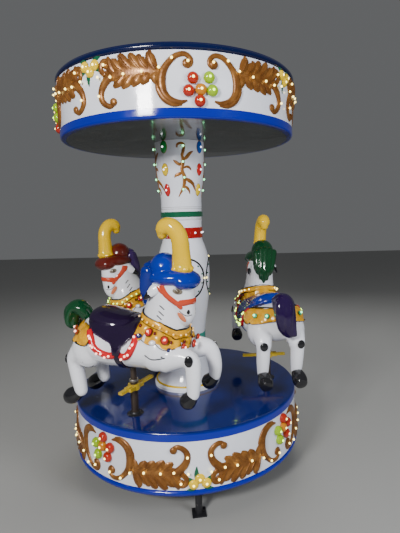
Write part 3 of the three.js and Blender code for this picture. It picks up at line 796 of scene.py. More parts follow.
RIGHT_FORE_HOOF = [
    (338, -79, 164, 25, 25), (324, -78, 148, 33, 32), (311, -77, 132, 36, 35), (303, -77, 122, 31, 31),
]
LEFT_FORELEG = [
    (230, 74, 312, 66, 60), (321, 86, 324, 45, 43), (358, 93, 305, 36, 34), (371, 98, 240, 33, 31),
    (368, 100, 190, 27, 26),
]
LEFT_FORE_HOOF = [
    (366, 100, 186, 25, 25), (350, 102, 169, 33, 32), (335, 103, 155, 36, 35), (325, 104, 147, 31, 31),
]
EAR = [(193, 62, 619, 24, 14), (180, 70, 608, 23, 14), (162, 78, 592, 16, 10), (141, 84, 575, 6, 5)]
MUSCLES = [
    ((-172, 88, 322), (84, 62, 84)), ((-128, 100, 378), (76, 50, 54)), ((-246, 84, 268), (40, 40, 42)),
    ((176, 88, 338), (78, 58, 82)), ((238, 44, 345), (50, 52, 60)),
]
FACE_FORMS = [
    ((240, 36, 582), (44, 32, 42)), ((276, 26, 616), (42, 32, 20)), ((284, 18, 514), (34, 28, 30)),
    ((272, 12, 474), (32, 24, 20)),
]
LEAN_START, LEAN_RATE = 440, 0.14
TRUNK_VOXEL, BODY_VOXEL, TRIM_VOXEL, FINE_VOXEL = 0.007, 0.005, 0.004, 0.0035
TORSO_SIDES, NECK_SIDES = 32, 28


def lean(z):
    """How far the head stands over to the horse's right at one height."""
    return -LEAN_RATE * max(0, z - LEAN_START)


def leaned(sections):
    return [(u, v + lean(z), z, *rest) for u, v, z, *rest in sections]


def both_sides(sections):
    return [sections, mirrored(sections)]


def trunk_parts():
    """Barrel, neck and head as lofted limbs, with muscles laid on."""
    parts = [limb("torso", TORSO, "horse_white", TORSO_SIDES, cap=0.25)]
    parts.append(limb("neck", leaned(NECK), "horse_white", NECK_SIDES, cap=0.3))
    parts.append(limb("head", leaned(HEAD), "horse_white", NECK_SIDES, cap=0.4))
    for (u, v, z), radii in (*MUSCLES, *FACE_FORMS):
        for side in (1, -1):
            parts.append(ball("form", (u, side * v + lean(z), z), radii, "horse_white", 10))
    return parts


def horse_body():
    """Trunk and legs fused into one skin."""
    legs = [limb("leg", leg, "horse_white") for leg in (*both_sides(HIND_LEG), RIGHT_FORELEG, LEFT_FORELEG)]
    return fuse(trunk_parts() + legs, "horse", BODY_VOXEL, 6)


def hooves():
    """Black cupped hooves, folded back under the white pasterns."""
    pieces = []
    for hoof in (*both_sides(HIND_HOOF), RIGHT_FORE_HOOF, LEFT_FORE_HOOF):
        pieces.append(limb("hoof", hoof, "black_gloss", 20, 3, cap=0.45))
    return join(pieces, "hooves")


def ears():
    """Ears laid back, white at the root and black towards the tip."""
    pieces = []
    for ear in both_sides(EAR):
        pieces.append(limb("ear", leaned(ear)[:3], "horse_white", 14, 4, cap=0.4))
        pieces.append(limb("ear", leaned(ear)[2:], "black_gloss", 14, 4, grow=0.6))
    return join(pieces, "ears")


BRIM = ((240, 0, 660), (112, 90, 43))
CROWN = ((206, 0, 696), (66, 65, 68))
PEAK = ((304, 0, 645), (58, 79, 42))
PLUME = [
    (290, -40, 694, 46, 43), (291, -43, 735, 41, 38), (291, -46, 775, 38, 36), (290, -49, 812, 37, 36),
    (280, -52, 846, 37, 36), (256, -54, 872, 37, 36), (230, -54, 874, 37, 36), (216, -53, 858, 34, 33),
    (211, -52, 842, 24, 23),
]
RUFFLES, RUFFLE_U, RUFFLE_V, RUFFLE_RADII = 9, 38, 35, (15, 15, 12)
MANE_LOCKS = [
    (-44, [(150, 690), (138, 640), (122, 596), (116, 566)], 30),
    (-22, [(150, 704), (132, 640), (114, 584), (104, 540)], 31),
    (0, [(150, 708), (128, 638), (108, 576), (98, 528)], 31),
    (22, [(150, 704), (132, 640), (114, 586), (104, 546)], 31),
    (44, [(150, 690), (138, 640), (124, 602), (116, 578)], 30),
]


def hat(colour):
    """A soft wide hat: a full brim that dips over the forehead, and a round crown."""
    parts = []
    for (u, v, z), radii in (BRIM, CROWN, PEAK):
        parts.append(ball("hat", (u, v + lean(z), z), radii, colour, 14))
    return fuse(parts, "hat", TRIM_VOXEL, 5)


def mane(colour):
    """Locks that hang from under the hat and close up towards their ends."""
    parts = []
    for v, line, width in MANE_LOCKS:
        sizes = [(width, 20), (width + 4, 20), (width - 3, 17), (10, 9)]
        lock = [(u, v * (1.2 - 0.12 * i), z, *size) for i, ((u, z), size) in enumerate(zip(line, sizes))]
        parts.append(limb("lock", leaned(lock), colour, 12))
    return fuse(parts, "mane", TRIM_VOXEL, 3)


def plume():
    """A fat curled feather, rising from a ruffle."""
    parts = [limb("feather", PLUME, "plume_yellow", 24, 7)]
    (u, v, z, *_) = PLUME[0]
    for k in range(RUFFLES):
        angle = 2 * pi * k / RUFFLES
        centre = (u + RUFFLE_U * cos(angle), v + RUFFLE_V * sin(angle), z + 2)
        parts.append(ball("ruffle", centre, RUFFLE_RADII, "plume_yellow", 8))
    return fuse(parts, "plume", TRIM_VOXEL, 3)


SEAT = [
    (-170, 0, 463, 26, 60), (-162, 0, 464, 41, 90), (-136, 0, 463, 44, 104), (-79, 0, 450, 45, 108),
    (-22, 0, 440, 45, 98), (25, 0, 436, 46, 76), (46, 0, 440, 36, 52), (54, 0, 442, 22, 30),
]
FLAP = [
    (-178, 530), (-178, 460), (-142, 440), (-113, 424), (-78, 409), (-45, 396), (-14, 385), (-4, 376),
    (0, 362), (0, 330), (36, 330), (36, 362), (43, 378), (62, 389), (80, 402), (88, 414), (89, 428),
    (77, 456), (30, 470), (30, 530),
]
CINCH = [(-11, 150), (26, 150), (36, 335), (0, 335)]
PIPING = [
    [(-176, 460), (-142, 441), (-113, 425), (-78, 410), (-45, 397), (-14, 386), (-3, 374), (0, 345)],
    [(36, 345), (40, 373), (60, 388), (80, 402), (88, 415), (89, 428)],
]


def saddle(colour):
    """A padded seat with flaps that narrow into the girth, laid over the barrel."""
    flaps = inside(limb("flaps", TORSO, colour, TORSO_SIDES, grow=14), FLAP, colour)
    girth = inside(limb("girth", TORSO, colour, TORSO_SIDES, grow=6), CINCH, colour)
    return fuse([flaps, girth, limb("seat", SEAT, colour, 28, cap=0.5)], "saddle", TRIM_VOXEL, 5)


def saddle_piping(skin):
    """A rolled edge along the flap's lower line."""
    return join(straps("piping", skin, PIPING, 6, 4.5, "saddle_edge"), "saddle_piping")


COLLAR_U = 185
COLLAR_TOP = [(62, 520), (100, 503), (208, 470), (265, 433), (330, 415)]
COLLAR_REAR = (80, 425)
COLLAR_SCALLOPS = [
    ((95, 385), (128, 402)), ((166, 374), (199, 388)), ((240, 344), (270, 368)), ((300, 319), (330, 345)),
]
COLLAR_T = 7
# Places below the collar's top edge: the band's middle and lower line, wedges, discs and drops
BAND_AT, BAND_LINE_AT, WEDGE_AT, DISC_AT, DROP_AT = -15, -31, -46, -58, -84
DISC_PITCH = 84
DISC_R = 29


def collar_height(u):
    for (u0, z0), (u1, z1) in zip(COLLAR_TOP, COLLAR_TOP[1:]):
        if u <= u1:
            return z0 + (z1 - z0) * (u - u0) / (u1 - u0)
    return COLLAR_TOP[-1][1]


def scalloped_edge(steps=6):
    """The collar's lower edge in the side view, as a row of hanging curves."""
    line = [COLLAR_REAR]
    for middle, end in COLLAR_SCALLOPS:
        start = line[-1]
        for k in range(1, steps + 1):
            t = k / steps
            weights = ((1 - t) ** 2, 2 * t * (1 - t), t ** 2)
            corners = list(zip(weights, (start, middle, end)))
            line.append(tuple(sum(w * p[axis] for w, p in corners) for axis in (0, 1)))
    return line


def collar_line(skin, offset, low=-180, high=180, step=4):
    """Points round the neck at one distance below the collar's top edge."""
    angles = [radians(low + step * k) for k in range(int((high - low) / step) + 1)]
    return [skin.around(angle, COLLAR_U, collar_height, offset) for angle in angles]


def spaced(laid, pitch, first=None):
    """(point, normal) pairs every so many millimetres both ways from the middle of a line."""
    middle = len(laid) // 2
    found = []
    for way in (-1, 1):
        wanted = pitch if first is None else first
        travelled, index = 0.0, middle
        while 0 <= index + way < len(laid):
            travelled += (laid[index + way][0] - laid[index][0]).length / MM
            index += way
            if travelled >= wanted:
                found.append(laid[index])
                wanted += pitch
    return found


def collar(skin):
    """A solid gold band with a scalloped lower edge, a rolled top edge and hanging discs."""
    shape = [*scalloped_edge(), *reversed(COLLAR_TOP)]
    plates = [
        limb("plate", TORSO, "gold_paint", TORSO_SIDES, grow=COLLAR_T, cap=0.25),
        limb("plate", leaned(NECK), "gold_paint", NECK_SIDES, grow=COLLAR_T, cap=0.1),
    ]
    pieces = [inside(plate, shape, "gold_paint") for plate in plates]
    pieces.append(strap("band", collar_line(skin, BAND_AT), 30, 11, "gold_paint", 10))
    for place, normal in disc_places(skin):
        pieces.append(stud("disc", place, normal, (DISC_R, DISC_R + 2, 15), "gold_paint", rings=10))
    return fuse(pieces, "collar", FINE_VOXEL, 2)


def disc_places(skin):
    line = collar_line(skin, DISC_AT, -132, 132, 2)
    return [line[len(line) // 2], *spaced(line, DISC_PITCH)]


def between_discs(skin, offset):
    return spaced(collar_line(skin, offset, -126, 126, 2), DISC_PITCH, DISC_PITCH / 2)


def collar_trim(skin):
    """Black outlines, red oval stones on the discs, and wedges and drops between them."""
    pieces = [strap("line", collar_line(skin, 0), 4, 9, "black_gloss", 6)]
    pieces.append(strap("line", collar_line(skin, BAND_LINE_AT, -160, 160), 4, 9, "black_gloss", 6))
    pieces += straps("line", skin, [scalloped_edge()[1:-3]], 4, 5, "black_gloss", 1, 6)
    for place, normal in disc_places(skin):
        pieces.append(stud("rim", place + normal * 0.010, normal, (18, 20, 6), "stone_dark", 0.1))
        pieces.append(stud("stone", place + normal * 0.012, normal, (15, 17, 8), "stone_red", 0.1))
    for place, normal in between_discs(skin, WEDGE_AT):
        pieces.append(stud("wedge", place + normal * 0.004, normal, (6, 8, 7), "stone_dark", 0.2))
    for k, (place, normal) in enumerate(between_discs(skin, DROP_AT)):
        pieces.append(stud("drop", place, normal, (15, 12, 10), "navy_gloss" if k % 2 else "pearl", 0.3))
    return join(pieces, "collar_trim")


def led(place, normal, lift, look, radius):
    return stud("led", place + normal * lift, normal, (radius, radius, radius), look, 0.1, 4)


def collar_leds(skin):
    along_band = spaced(collar_line(skin, BAND_AT, -150, 150, 2), 30)
    lights = [led(*spot, 0.008, "led_collar", 4.5) for spot in along_band]
    lights += [led(*spot, 0.021, "led_garland", 5) for spot in disc_places(skin)]
    lights += [led(*spot, 0.008, "led_white", 4) for spot in between_discs(skin, DROP_AT)]
    return lights


TAIL = [
    (-230, 0, 439, 28, 30), (-254, 0, 477, 36, 42), (-281, 0, 497, 39, 50), (-310, 0, 489, 41, 54),
    (-325, 0, 447, 39, 54), (-327, -4, 400, 35, 52), (-321, -16, 359, 30, 44), (-318, -36, 334, 22, 30),
    (-316, -54, 325, 12, 14),
]
BOB_TAIL = [*TAIL[:5], (-323, 0, 418, 34, 48), (-314, 0, 399, 22, 32)]
LOCKS, LOCK_REACH, LOCK_TWIST = 5, 0.55, 0.22


def tail(sections, colour):
    """One swept form with locks that twist round it and run together at the end."""
    parts = [limb("core", sections, colour, 20, grow=-5, cap=0.6)]
    for k in range(LOCKS):
        lock = []
        for i, (u, v, z, a, b) in enumerate(sections):
            angle = 2 * pi * k / LOCKS + LOCK_TWIST * i
            across, along = LOCK_REACH * sin(angle), LOCK_REACH * cos(angle)
            lock.append((u - a * along, v + b * across, z, a * 0.5, b * 0.48))
        parts.append(limb("lock", lock, colour, 12, cap=0.5))
    return fuse(parts, "tail", TRIM_VOXEL, 3)


# The harness on the haunch and flank

GARLANDS = [
    [(-127, 419), (-110, 390), (-92, 356), (-58, 334), (-22, 326), (-4, 328)],
    [(40, 326), (60, 328), (80, 346), (97, 378), (100, 408)],
]
GARLAND_ZIGZAG = 0.005
RUMP_BAND = [
    (-330, 446), (-230, 444), (-142, 432), (-122, 404), (-118, 384), (-132, 364), (-156, 356), (-184, 364),
    (-196, 372), (-214, 366), (-240, 372), (-262, 386), (-330, 390),
]
CRUPPER_T = 9
RUMP_LIGHTS = [((-0.5, 0.20, 0.410), (-0.18, 0.03, 0.410)), ((-0.48, 0.36, 0.404), (-0.15, 0.06, 0.404))]
CHEEK_STRAP = [(218, 628), (230, 601), (250, 577), (270, 556)]
EAR_STRAP = [(202, 624), (216, 608), (231, 598)]
NOSE_STRAP = [(268, 554), (288, 551), (306, 553), (320, 556)]
STRAP_END = [(272, 552), (282, 540), (291, 530)]
NOSEBAND_U, NOSEBAND_Z = 266, 556


def garlands(skin):
    return join(straps("garland", skin, GARLANDS, 33, 14, "garland_red", sides=10), "garlands")


def garland_leds(skin):
    lights = []
    for line in [side_line(skin, run, side, 9) for side in (-1, 1) for run in GARLANDS]:
        for k, (place, normal) in enumerate([line[len(line) // 2], *spaced(line, 20)]):
            shift = Vector((0, 0, GARLAND_ZIGZAG if k % 2 else -GARLAND_ZIGZAG))
            lights.append(led(place + shift, normal, 0.013, "led_garland", 5.5))
    return lights


def rump_band():
    """The smooth gold crupper round the haunches, with a scalloped lower edge."""
    shells = [limb("crupper", TORSO, "gold_paint", TORSO_SIDES, grow=CRUPPER_T, cap=0.25)]
    for (u, v, z), radii in MUSCLES[:2]:
        for side in (-1, 1):
            grown = [radius + CRUPPER_T for radius in radii]
            shells.append(ball("crupper", (u, side * v, z), grown, "gold_paint", 12))
    return fuse([inside(shell, RUMP_BAND, "gold_paint") for shell in shells], "rump_band", FINE_VOXEL, 3)


def rump_places(skin):
    """Where the crupper's lights stand, first the one by the tail, on each side."""
    places = []
    for start, toward in RUMP_LIGHTS:
        for side in (-1, 1):
            flip = Vector((1, side, 1))
            places.append(skin.cast(Vector(start) * flip, Vector(toward) * flip))
    return places


def rump_trim(skin):
    """A black line along the crupper's edge, and a stone under each light."""
    pieces = straps("line", skin, [[(-236, 443), *RUMP_BAND[2:-1]]], 5, 11, "black_gloss", 2, 6)
    for place, normal in rump_places(skin):
        pieces.append(stud("stone", place + normal * 0.007, normal, (13, 13, 7), "stone_rump", 0.2))
    return join(pieces, "rump_trim")


def rump_leds(skin):
    return [led(*spot, 0.014, "led_rump", 6.5) for spot in rump_places(skin)]


def bridle(skin):
    """The painted straps of the head: cheek and nose, with a short end below their joint."""
    pieces = []
    for side in (-1, 1):
        for run, width in ((CHEEK_STRAP, 26), (EAR_STRAP, 20), (NOSE_STRAP, 26), (STRAP_END, 18)):
            pieces.append(strap("strap", side_line(skin, run, side), width, 5, "bridle_red"))
    centre = Vector((NOSEBAND_U * MM, lean(NOSEBAND_Z) * MM, NOSEBAND_Z * MM))
    ways = [Vector((cos(radians(11 * k)), sin(radians(11 * k)), 0)) for k in range(-6, 7)]
    across = [skin.cast(centre + way * 0.2, centre) for way in ways]
    pieces.append(strap("noseband", across, 26, 5, "bridle_red"))
    return join(pieces, "bridle")


PAINTED_LINES = [
    ([(154, 341), (187, 326), (237, 331)], 6), ([(-193, 252), (-166, 238), (-134, 258)], 4),
    ([(206, 545), (214, 538), (223, 528)], 5.5), ([(200, 520), (208, 512), (218, 501)], 5.5),
    ([(190, 501), (198, 494), (208, 484)], 5.5), ([(280, 518), (296, 502), (310, 495), (322, 497)], 3.5),
]
KNEES = [(340, 322, -1), (360, 322, 1)]
HOCK_V, HOCK_Z = 0.094, 0.270
# Name, place on the head's side, lift in metres, radii, finish, how deep it sits, and its turn
FACE_MARKS = [
    ("socket", (286, 606), 0, (21, 13, 5), "eye_grey", 0.3, 0.25),
    ("iris", (286, 606), 0.002, (11, 9, 5), "eye_brown", 0.3, 0),
    ("pupil", (286, 606), 0.004, (5, 5.5, 3), "black_gloss", 0.3, 0),
    ("nostril", (314, 512), 0, (7, 11, 4), "black_gloss", 0.35, 0),
    ("mouth", (286, 490), 0, (12, 27, 3), "mouth_orange", 0.3, -0.58),
]


def paintwork(skin):
    """Black strokes along the muscles, and the spots on knees and hocks."""
    pieces = []
    for line, width in PAINTED_LINES:
        pieces += straps("stroke", skin, [line], width, 2, "stroke_grey", 4, 6)
    for u, z, side in KNEES:
        pieces.append(stud("knee", *skin.side(u, z, side), (18, 24, 5), "black_gloss", 0.3))
    for side in (-1, 1):
        spot = skin.cast(Vector((-0.7, side * HOCK_V, HOCK_Z)), Vector((-0.2, side * HOCK_V, HOCK_Z)))
        pieces.append(stud("hock", *spot, (20, 22, 8), "black_gloss", 0.3))
    return join(pieces, "paintwork")


def face(skin):
    """Eyes, nostrils and the corner of the mouth."""
    pieces = []
    for side in (-1, 1):
        for name, (u, z), lift, radii, look, sunk, spin in FACE_MARKS:
            place, normal = skin.side(u, z, side)
            pieces.append(stud(name, place + normal * lift, normal, radii, look, sunk, spin=spin * side))
    return join(pieces, "face")


# Relief of the two walls: half a repeat in the flat, x along the wall, z up and -y outwards

RELIEF_R, RELIEF_LEAN = 0.596, 0.0055
OUTWARD = Vector((0, -1, 0))
CANOPY_CLUSTERS, BASE_CLUSTERS = -74.0, -124.5
QUARTERS = (0, 90, 180, 270)


def tendril(points, widths, look="bronze_paint", ratio=0.7, sides=10, steps=4):
    """A raised scroll that tapers, through (along, up) points with full widths, in millimetres."""
    rows = smooth_line([(s, h, w / 2) for (s, h), w in zip(points, widths)], steps)
    line = [Vector((row[0], 0, row[1])) * MM for row in rows]
    sizes = [(max(row[2], 0.6) * MM, max(row[2], 0.6) * ratio * MM) for row in rows]
    frames = domed(frames_along(line, sizes, [OUTWARD] * len(line)))
    return loft("tendril", frames, look, sides)


def knob(s, h, radius, look, proud=0.55, rings=8):
    """A round boss on the flat wall."""
    return ball("knob", (s, -radius * proud * 0.3, h), (radius, radius * proud, radius), look, rings)


C_SCROLL = [
    (-58, 66), (-86, 60), (-122, 70), (-147, 96), (-155, 136), (-147, 176), (-127, 206), (-96, 233),
    (-62, 240), (-40, 226), (-37, 206), (-50, 194),
]
C_WIDTHS = (8, 20, 27, 32, 36, 32, 26, 23, 21, 20, 19, 18)
C_LEAF = [(-78, 50), (-112, 52), (-146, 74), (-168, 112), (-174, 140)]
C_LEAF_WIDTHS = (6, 19, 27, 24, 7)
C_RIB = [(-92, 64), (-122, 76), (-143, 100), (-150, 136), (-142, 172), (-122, 200), (-94, 226)]
C_RIB_WIDTHS = (3, 6, 7, 8, 7, 6, 3)
STEM = [(-156, 172), (-200, 182), (-255, 184), (-310, 182), (-360, 180), (-398, 177)]
STEM_WIDTHS = (24, 50, 64, 66, 54, 34)
UPPER_LOBES = [
    [(-176, 186), (-190, 214), (-197, 240), (-194, 254)],
    [(-206, 186), (-226, 208), (-238, 232), (-234, 242)],
    [(-236, 188), (-258, 214), (-274, 238), (-284, 240)],
    [(-270, 188), (-296, 214), (-316, 240), (-328, 246)],
    [(-308, 186), (-334, 206), (-352, 232), (-354, 240)],
    [(-346, 184), (-364, 204), (-372, 232), (-374, 250)],
]
LOWER_LOBES = [
    [(-172, 168), (-178, 152), (-174, 132)], [(-206, 170), (-220, 150), (-232, 134)],
    [(-240, 168), (-256, 146), (-270, 130)], [(-274, 168), (-294, 144), (-314, 126)],
    [(-310, 170), (-332, 148), (-352, 134)],
]
HOOK = [(-366, 176), (-396, 152), (-414, 124), (-416, 94), (-400, 72), (-376, 62), (-358, 70)]
HOOK_WIDTHS = (36, 36, 31, 28, 25, 22, 20)
CURL = [(-392, 184), (-410, 204), (-404, 232), (-384, 236), (-374, 220), (-384, 210)]
CURL_WIDTHS = (24, 24, 22, 20, 17, 15)
HALF_LEDS = [
    (-50, 211), (-111, 222), (-161, 188), (-228, 176), (-302, 173), (-359, 168), (-419, 176), (-387, 218),
    (-418, 103),
]
SCROLL_EYES = [(-54, 205, 18), (-358, 76, 16), (-386, 219, 14)]
BALLS = [(-32, 151, 0), (33, 155, 1), (-50, 103, 0), (-1, 108, 2), (46, 106, 1), (-6, 65, 0)]
BALL_R, PETAL_R, RELIEF_LED_R = 23.5, 22, 5.5
PETALS = [(-28, 231), (28, 229), (0, 207)]
FLOWER_LEAVES = [
    [(-10, 215), (-14, 186), (-12, 154)], [(-18, 226), (-44, 212), (-58, 196)],
    [(18, 226), (44, 212), (58, 196)], [(-14, 234), (-34, 252), (-58, 256)],
    [(14, 234), (34, 252), (58, 256)],
]


def half_unit():
    """The C scroll, the acanthus leaf and its hook, left of a ball cluster."""
    forms = [tendril(C_SCROLL, C_WIDTHS), tendril(C_LEAF, C_LEAF_WIDTHS)]
    forms += [tendril(C_RIB, C_RIB_WIDTHS, ratio=2.0), tendril(STEM, STEM_WIDTHS, ratio=0.24)]
    forms += [tendril(HOOK, HOOK_WIDTHS), tendril(CURL, CURL_WIDTHS)]
    for lobes, widths, rib_widths in (
        (UPPER_LOBES, (26, 42, 35, 12), (5, 8, 7, 3)), (LOWER_LOBES, (30, 40, 18), (5, 7, 3)),
    ):
        for lobe in lobes:
            forms.append(tendril(lobe, widths, ratio=0.48))
            forms.append(tendril(lobe, rib_widths, ratio=3.4, sides=6))
    forms += [knob(s, h, radius, "bronze_paint") for s, h, radius in SCROLL_EYES]
    return join(forms, "half_unit")


def flat_led(s, h, lift, look, radius=RELIEF_LED_R):
    return ball("led", (s, -lift, h), (radius, radius * 0.9, radius), look, 5)


def half_lights():
    return join([flat_led(s, h, 15, "led_warm") for s, h in HALF_LEDS], "half_lights")


def cluster():
    """Six glass balls like a bunch of fruit, each with a light in it."""
    looks = ("ball_red", "ball_lime", "ball_orange")
    forms = [knob(s, h, BALL_R, looks[look], 0.8, 10) for s, h, look in BALLS]
    forms += [flat_led(s, h, 23, "led_lime" if look == 1 else "led_warm") for s, h, look in BALLS]
    return join(forms, "cluster")


def flower():
    """Three yellow petals over pointed green leaves."""
    forms = [tendril(leaf, (20, 22, 4), "green_gloss", 0.3) for leaf in FLOWER_LEAVES]
    forms += [knob(s, h, PETAL_R, "yellow_gloss", 0.5, 10) for s, h in PETALS]
    forms += [flat_led(s, h, 13, "led_warm") for s, h in PETALS]
    return join(forms, "flower")


def bend_round(piece, azimuth, height_of, radius_at, flat_radius, mirror=False, inverted=False):
    """A copy of a flat piece, carried onto the turned surface about the axis."""
    twin = copy_to(piece, "part", Matrix())
    for vertex in twin.data.vertices:
        along, out, up = vertex.co
        height = height_of(up)
        angle = radians(azimuth) + (-along if mirror else along) / flat_radius
        radius = radius_at(height) - out
        vertex.co = AXIS + Vector((radius * cos(angle), radius * sin(angle), height))
    if mirror != inverted:
        twin.data.flip_normals()
    return twin


def wall_radius(height):
    """The walls lean out from the deck's or the soffit's edge towards their wide ends."""
    from_wide_end = height - DRUM_BOTTOM if height < 1 else CANOPY_TOP - height
    return WALL_R - RELIEF_LEAN * from_wide_end / DRUM_HEIGHT


def place_relief(flat, label, clusters, height_of, inverted):
    half, lights, bunch, bloom = flat
    made = []
    for quarter in QUARTERS:
        at = clusters + quarter
        parts = [(half, at, False), (lights, at, False), (half, at, True), (lights, at, True)]
        parts += [(bunch, at, inverted), (bloom, at + 45, False)]
        for piece, azimuth, mirror in parts:
            made.append(bend_round(piece, azimuth, height_of, wall_radius, RELIEF_R, mirror, inverted))
    assign(join(made, label + "_relief"), "turntable")


def place_reliefs():
    flat = (half_unit(), half_lights(), cluster(), flower())
    place_relief(flat, "canopy", CANOPY_CLUSTERS, lambda up: SOFFIT_Z + up, False)
    place_relief(flat, "base", BASE_CLUSTERS, lambda up: DECK_Z - up, True)
    for piece in flat:
        discard(piece)


# Ornament of the column: sprays with a row of lights, ovals of glass between them, medallion rings

HEAD_R, SHAFT_R = 0.125, 0.137
SPRAY_AZIMUTH = -76
OVAL_HEIGHTS = (1668, 1555, 1452)
OVAL_LOOKS = (("glass_green", "glass_yellow", "glass_red"), ("glass_blue", "glass_red", "glass_yellow"))
SPRAY = [
    ([(-28, 1662), (-24, 1676), (-8, 1682), (6, 1674), (4, 1650), (-4, 1622)], (9, 12, 13, 13, 15, 16)),
    (
        [(-4, 1626), (0, 1590), (-6, 1550), (6, 1514), (2, 1470), (-14, 1440), (-29, 1415)],
        (14, 18, 18, 20, 18, 12, 4),
    ),
    ([(0, 1600), (16, 1610), (36, 1632), (54, 1644)], (8, 18, 16, 4)),
    ([(-2, 1585), (-18, 1578), (-36, 1590), (-48, 1600)], (8, 17, 15, 4)),
    ([(-2, 1540), (-20, 1530), (-36, 1524), (-46, 1513)], (8, 18, 15, 5)),
    ([(4, 1508), (26, 1500), (52, 1484), (66, 1464), (76, 1448)], (8, 20, 18, 12, 4)),
    ([(0, 1470), (20, 1462), (34, 1446), (38, 1430)], (8, 15, 12, 4)),
    ([(2, 1560), (20, 1566), (34, 1560), (42, 1548)], (8, 14, 12, 4)),
]
SPRAY_LEDS = [(2, 1668), (-1, 1590), (4, 1512), (-2, 1453)]
MEDALLION_Z, MEDALLION_R, MEDALLION_NARROWING = 0.99, 0.106, 0.92
RING_SIDES, RING_WIDTH, BEAD_INSET = 48, 10, 12


def line_radius(line, height):
    """The radius of a (radius, height) line at one height."""
    for (r0, z0), (r1, z1) in zip(line, line[1:]):
        if z0 <= height <= z1:
            return r0 + (r1 - r0) * (height - z0) / (z1 - z0)
    return line[0][0] if height < line[0][1] else line[-1][0]


def spray():
    forms = [tendril(points, widths, "gold_bronze", 0.4) for points, widths in SPRAY]
    forms += [flat_led(s, h, 8, "led_mint", 5.5) for s, h in SPRAY_LEDS]
    return join(forms, "spray")


def oval(look):
    forms = [ball("oval", (0, -1, 0), (19, 9, 31), look, 12), flat_led(0, 0, 10, "led_white", 5)]
    forms.append(ball("rim", (0, 1, 0), (21.5, 5, 33.5), "gold_bronze", 12))
    return join(forms, "oval")


def medallion():
    """A round black outline with lights on it and dark beads inside, in the flat."""
    upright = MEDALLION_R / MM
    around = upright * MEDALLION_NARROWING

    def on_ring(part, inset=0):
        return (around - inset) * cos(2 * pi * part), (upright - inset) * sin(2 * pi * part)

    ring = [on_ring(k / RING_SIDES) for k in range(RING_SIDES + 1)]
    forms = [tendril(ring, [RING_WIDTH] * len(ring), "black_gloss", 0.7, 8, 1)]
    forms += [knob(*on_ring((k + 0.5) / 12, BEAD_INSET), 4.5, "green_gloss", 0.9, 5) for k in range(12)]
    forms += [flat_led(*on_ring(k / 4), 5, "led_warm", 4.5) for k in range(4)]
    return join(forms, "medallion")


def place_column_ornament():
    """Sprays and ovals on the column's head, and medallions on its shaft."""

    def round_column(flat, turn, middle, line, flat_radius):
        level, radius_at = (lambda up: middle + up), (lambda height: line_radius(line, height))
        return bend_round(flat, SPRAY_AZIMUTH + turn, level, radius_at, flat_radius)

    flat_spray, flat_medallion = spray(), medallion()
    head, shaft = [], []
    for k, quarter in enumerate(QUARTERS):
        head.append(round_column(flat_spray, quarter, 0, HEAD_LINE, HEAD_R))
        for height, look in zip(OVAL_HEIGHTS, OVAL_LOOKS[k % 2]):
            flat_oval = oval(look)
            head.append(round_column(flat_oval, quarter - 45, height * MM, HEAD_LINE, HEAD_R))
            discard(flat_oval)
        shaft.append(round_column(flat_medallion, quarter, MEDALLION_Z, SHAFT_LINE, SHAFT_R))
    discard(flat_spray)
    discard(flat_medallion)
    assign(join(head, "column_sprays"), "turntable")
    assign(join(shaft, "column_medallions"), "turntable")


TEAL_R, TEAL_LOW, TEAL_HIGH = 0.107, 0.6425, 0.686
GROOVES = [(HEAD_LINE, 1.354), (HEAD_LINE, 1.363), (SHAFT_LINE, 1.296), (SHAFT_LINE, 1.301)]
STRIPE_Z, STRIPE_HALF = DECK_Z + 0.024, 0.006
BAND_EDGE, BAND_T = 0.0015, 0.006
DOTS = 12


def ring_profile(radius, low, high, proud):
    inner, outer = radius - 0.004, radius + proud
    return [(inner, low), (outer, low), (outer, high), (inner, high), (inner, low)]


def band_ring(radius, low, high):
    """A band with eased outer edges."""
    inner, eased = radius - BAND_T, radius - BAND_EDGE
    return [
        (inner, low), (eased, low), (radius, low + BAND_EDGE), (radius, high - BAND_EDGE), (eased, high),
        (inner, high), (inner, low),
    ]


def place_bands():
    """The green and red bands, the teal foot band, thin turned lines and the dots of light."""
    red_r = outer_radius("column_red_band")
    for node, low, high, look in (
        ("column_green_band", GREEN_LOW, GREEN_HIGH, "green_gloss"),
        ("column_red_band", RED_LOW, RED_HIGH, "red_gloss"),
    ):
        band = turned(node + "_ring", band_ring(outer_radius(node), low, high), look, COLUMN_STEPS)
        assign(band, "turntable", node=node)
    teal = turned("teal_band", ring_profile(TEAL_R, TEAL_LOW, TEAL_HIGH, 0.0012), "teal_gloss", COLUMN_STEPS)
    assign(teal, "turntable")
    rings = []
    for line, height in GROOVES:
        profile = ring_profile(line_radius(line, height), height, height + 0.0022, 0.0008)
        rings.append(turned("groove", profile, "groove_grey", COLUMN_STEPS))
    assign(join(rings, "column_grooves"), "turntable")
    stripe_r = line_radius(FOOT_LINE, STRIPE_Z)
    stripe = ring_profile(stripe_r, STRIPE_Z - STRIPE_HALF, STRIPE_Z + STRIPE_HALF, 0.003)
    assign(turned("foot_stripe", stripe, "yellow_gloss", COLUMN_STEPS), "turntable")
    dots = []
    for k in range(DOTS):
        angle = radians(SPRAY_AZIMUTH + 360 / DOTS * k)
        way = Vector((cos(angle), sin(angle), 0))
        place = AXIS + way * red_r + Vector((0, 0, (RED_LOW + RED_HIGH) / 2))
        dots.append(stud("dot", place, way, (5, 5, 5), "led_white", 0.1, 4))
    assign(join(dots, "column_dots"), "turntable")


# Glands, post rings, footrests and the nodes that stay

GLAND_BORE = 0.0186
POST_STEP = DECK_Z + 0.163
STEP_RING = [
    (0.0142, -0.006), (0.0205, -0.006), (0.0215, -0.004), (0.0215, 0.004), (0.0205, 0.006), (0.0142, 0.006),
    (0.0142, -0.006),
]
RIB_ROWS, RIB_PITCH, RIB_RADII, RIB_SUNK = (-4, -3, -2, 2, 3, 4), 12, (9, 2.2, 2.4), 1.5


